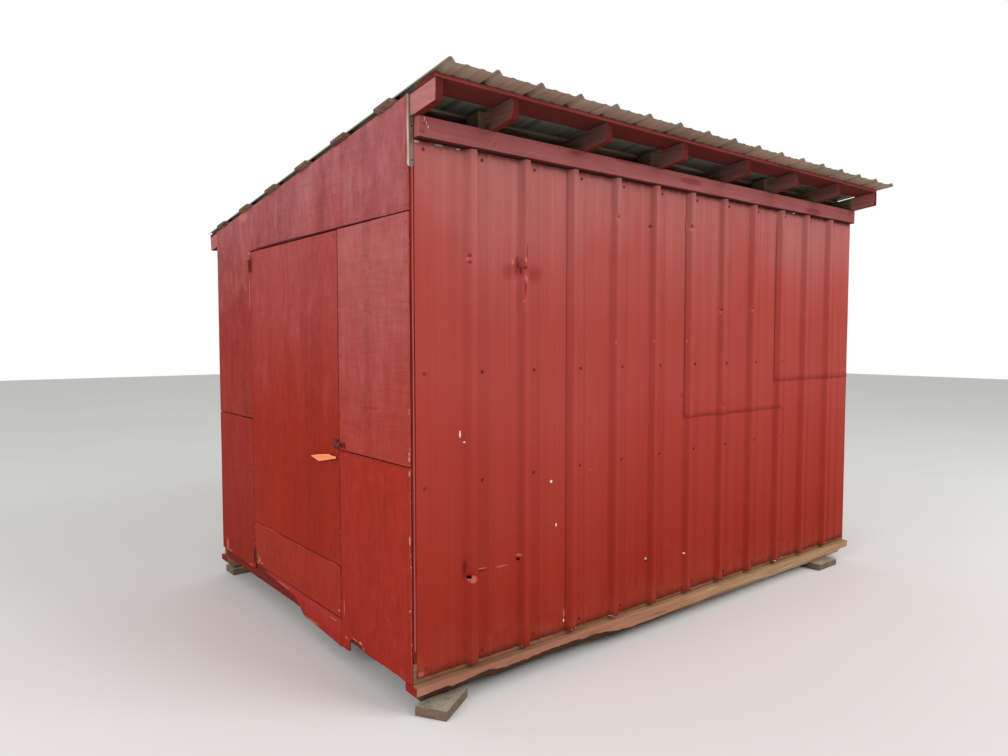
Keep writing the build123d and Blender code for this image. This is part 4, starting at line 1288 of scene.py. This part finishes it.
TAG_NEAR, TAG_FAR = 0.662, 0.951
TAG_LONG = TAG_FAR - TAG_NEAR
u, v = np.meshgrid(np.linspace(0, 1, 33), np.linspace(0, 1, 9))
tag_y = TAG_NEAR + TAG_LONG * u
tag_top = np.interp(tag_y, [TAG_NEAR, 0.693, 0.727, 0.842, TAG_FAR], [1.0305, 1.031, 1.036, 1.021, 1.0005])
tag_foot = np.interp(tag_y, [TAG_NEAR, 0.785, 0.849, TAG_FAR], [1.0215, 0.997, 0.985, 0.9992])
tag_z = tag_foot + v * (tag_top - tag_foot)
bow = np.sin(math.pi * (0.1 + 0.8 * u)) * (0.6 + 0.4 * v)
tag_x = -0.0235 - 0.0115 * bow + 0.001 * ripple(u, v, 141, 0.8)
tag_inset = np.minimum(np.minimum(v, 1 - v) * (tag_top - tag_foot), np.minimum(u, 1 - u) * TAG_LONG)
tag = surface(shed(tag_x, tag_y, tag_z)[:, ::-1], None, tag_inset[:, ::-1])
piece("tag", "door", tag_card("orange card"), [tag], wall=0.0004)


def wire_along(points, radius, sides=6):
    """A thin wire: a circle carried along a polyline, square to it at each point."""
    ahead = np.gradient(points, axis=0)
    ahead /= np.linalg.norm(ahead, axis=1, keepdims=True)
    across = np.cross(ahead, [0.1, 0.2, 0.97])
    across /= np.linalg.norm(across, axis=1, keepdims=True)
    up = np.cross(ahead, across)
    angle = np.linspace(0, 2 * math.pi, sides, endpoint=False)[None, :, None]
    rings = points[:, None] + radius * (np.cos(angle) * across[:, None] + np.sin(angle) * up[:, None])
    return rings.reshape(-1, 3), tube(len(points), sides), np.zeros(rings.size // 3)


t = np.linspace(0, 1, 17)
wire = shed(-0.0195 - 0.004 * np.sin(math.pi * t), 0.660 + 0.008 * t, 1.070 - 0.043 * t)
wire_steel = plain_metal("thin wire", (120, 110, 100), (70, 60, 52), 0.5)
piece("tag_wire", "door", wire_steel, [wire_along(wire, 0.0007)])


def finish_nodes(finish, *names):
    """Puts one finish on CAD nodes in place of their own materials."""
    for name in names:
        mesh = nodes[name].data
        mesh.materials.clear()
        mesh.materials.append(finish)


UPRIGHT = ("z", (164, 134, 106), (112, 86, 66))
# Dark brown for the floor framing: dirt, and painted shade of the dark space under the shed
DIRT_AND_SHADE = ("x", (120, 90, 68), (70, 52, 40), 0.5)
RIM_COAT = ((108, 76, 56), (144, 106, 80))
# A brighter red for the jambs and stiles: their paint, lightened as painted light against the shade in the
# seams round the door
JAMB_COAT_LIGHTENED = ((146, 46, 38), (168, 58, 50))
finish_nodes(bare_wood("bare studs", *UPRIGHT), "back_studs", "end_studs")
# On the front corner stud the dark coat beside the paler bead is partly painted shade in the narrow reveal
finish_nodes(bare_wood("upright bare lumber at the front", *UPRIGHT, bead=(178, 84, 80)), "front_studs")
finish_nodes(bare_wood("upright lumber round the door", *UPRIGHT, coat=JAMB_COAT_LIGHTENED),
             "door_jambs", "door_stiles")
finish_nodes(bare_wood("bare rails", "y", (160, 130, 102), (108, 84, 64)),
             "end_plates", "door_lintel", "door_ledges")
finish_nodes(bare_wood("bare boards along the walls", "x", (160, 130, 102), (106, 82, 62)),
             "front_girts", "back_girts", "wall_plates")
finish_nodes(bare_wood("dark floor framing, dirt and painted shade", *DIRT_AND_SHADE), "floor_joists")
finish_nodes(bare_wood("dark rim boards, dirt and painted shade", *DIRT_AND_SHADE, coat=RIM_COAT), "floor_rims")
finish_nodes(bare_wood("worn floor plywood", "y", (150, 118, 90), (104, 80, 60)), "floor_deck")
finish_nodes(old_hinge("old hinge steel"),
             "door_hinge_leaves", "frame_hinge_leaves", "hasp_plate", "hasp_strap", "hasp_staple")
finish_nodes(zinc("dull galvanising"), "corner_strap")


# Floor and light
def pale_floor(name):
    """A plain pale floor with a faint slow unevenness."""
    f = Finish(name)
    return f.done(f.mix(f.noise(0.5, 2), (226, 226, 224), (232, 232, 230)), 0.9, specular=0.1)


FLOOR_REACH = 30
squares = np.linspace(-FLOOR_REACH, FLOOR_REACH, 9)
across, back = np.meshgrid(squares, squares)
floor_mesh = bpy.data.meshes.new("floor")
floor_points, floor_faces, _ = surface(np.stack([across, back, back * 0], -1))
floor_mesh.from_pydata(floor_points.tolist(), [], floor_faces)
floor_mesh.materials.append(pale_floor("pale floor"))
floor = bpy.data.objects.new("floor", floor_mesh)
bpy.context.scene.collection.objects.link(floor)


def soft_light(name, place, towards, size, power):
    """A square light that faces a point."""
    lamp = bpy.data.lights.new(name, "AREA")
    lamp.size = size
    lamp.energy = power
    holder = bpy.data.objects.new(name, lamp)
    bpy.context.scene.collection.objects.link(holder)
    start, end = shed(*place), shed(*towards)
    aim = (end - start) / np.linalg.norm(end - start)
    holder.location = start
    holder.rotation_euler = (math.acos(-aim[2]), 0, math.atan2(-aim[0], aim[1]))


soft_light("key", (6.5, -9.0, 8.5), (1.5, 0, 1.2), 7.0, 820)
soft_light("fill", (-8.5, -0.8, 5.0), (0.0, 1.2, 1.2), 6.0, 440)

# The world lights softly, and shows white to the camera and in reflections
SOFT_STRENGTH, WHITE_STRENGTH = 0.62, 1.0
world = bpy.data.worlds.new("studio")
bpy.context.scene.world = world
world.use_nodes = True
tree = world.node_tree
tree.nodes.clear()
path = tree.nodes.new("ShaderNodeLightPath")
seen = path.outputs["Is Camera Ray"]
for ray in ("Is Glossy Ray", "Is Transmission Ray"):
    either = tree.nodes.new("ShaderNodeMath")
    either.operation = "MAXIMUM"
    tree.links.new(seen, either.inputs[0])
    tree.links.new(path.outputs[ray], either.inputs[1])
    seen = either.outputs[0]
choice = tree.nodes.new("ShaderNodeMixShader")
tree.links.new(seen, choice.inputs[0])
for socket, strength in ((1, SOFT_STRENGTH), (2, WHITE_STRENGTH)):
    background = tree.nodes.new("ShaderNodeBackground")
    background.inputs["Color"].default_value = (1, 1, 1, 1)
    background.inputs["Strength"].default_value = strength
    tree.links.new(background.outputs[0], choice.inputs[socket])
output = tree.nodes.new("ShaderNodeOutputWorld")
tree.links.new(choice.outputs[0], output.inputs[0])
bpy.context.scene.view_settings.view_transform = "Standard"
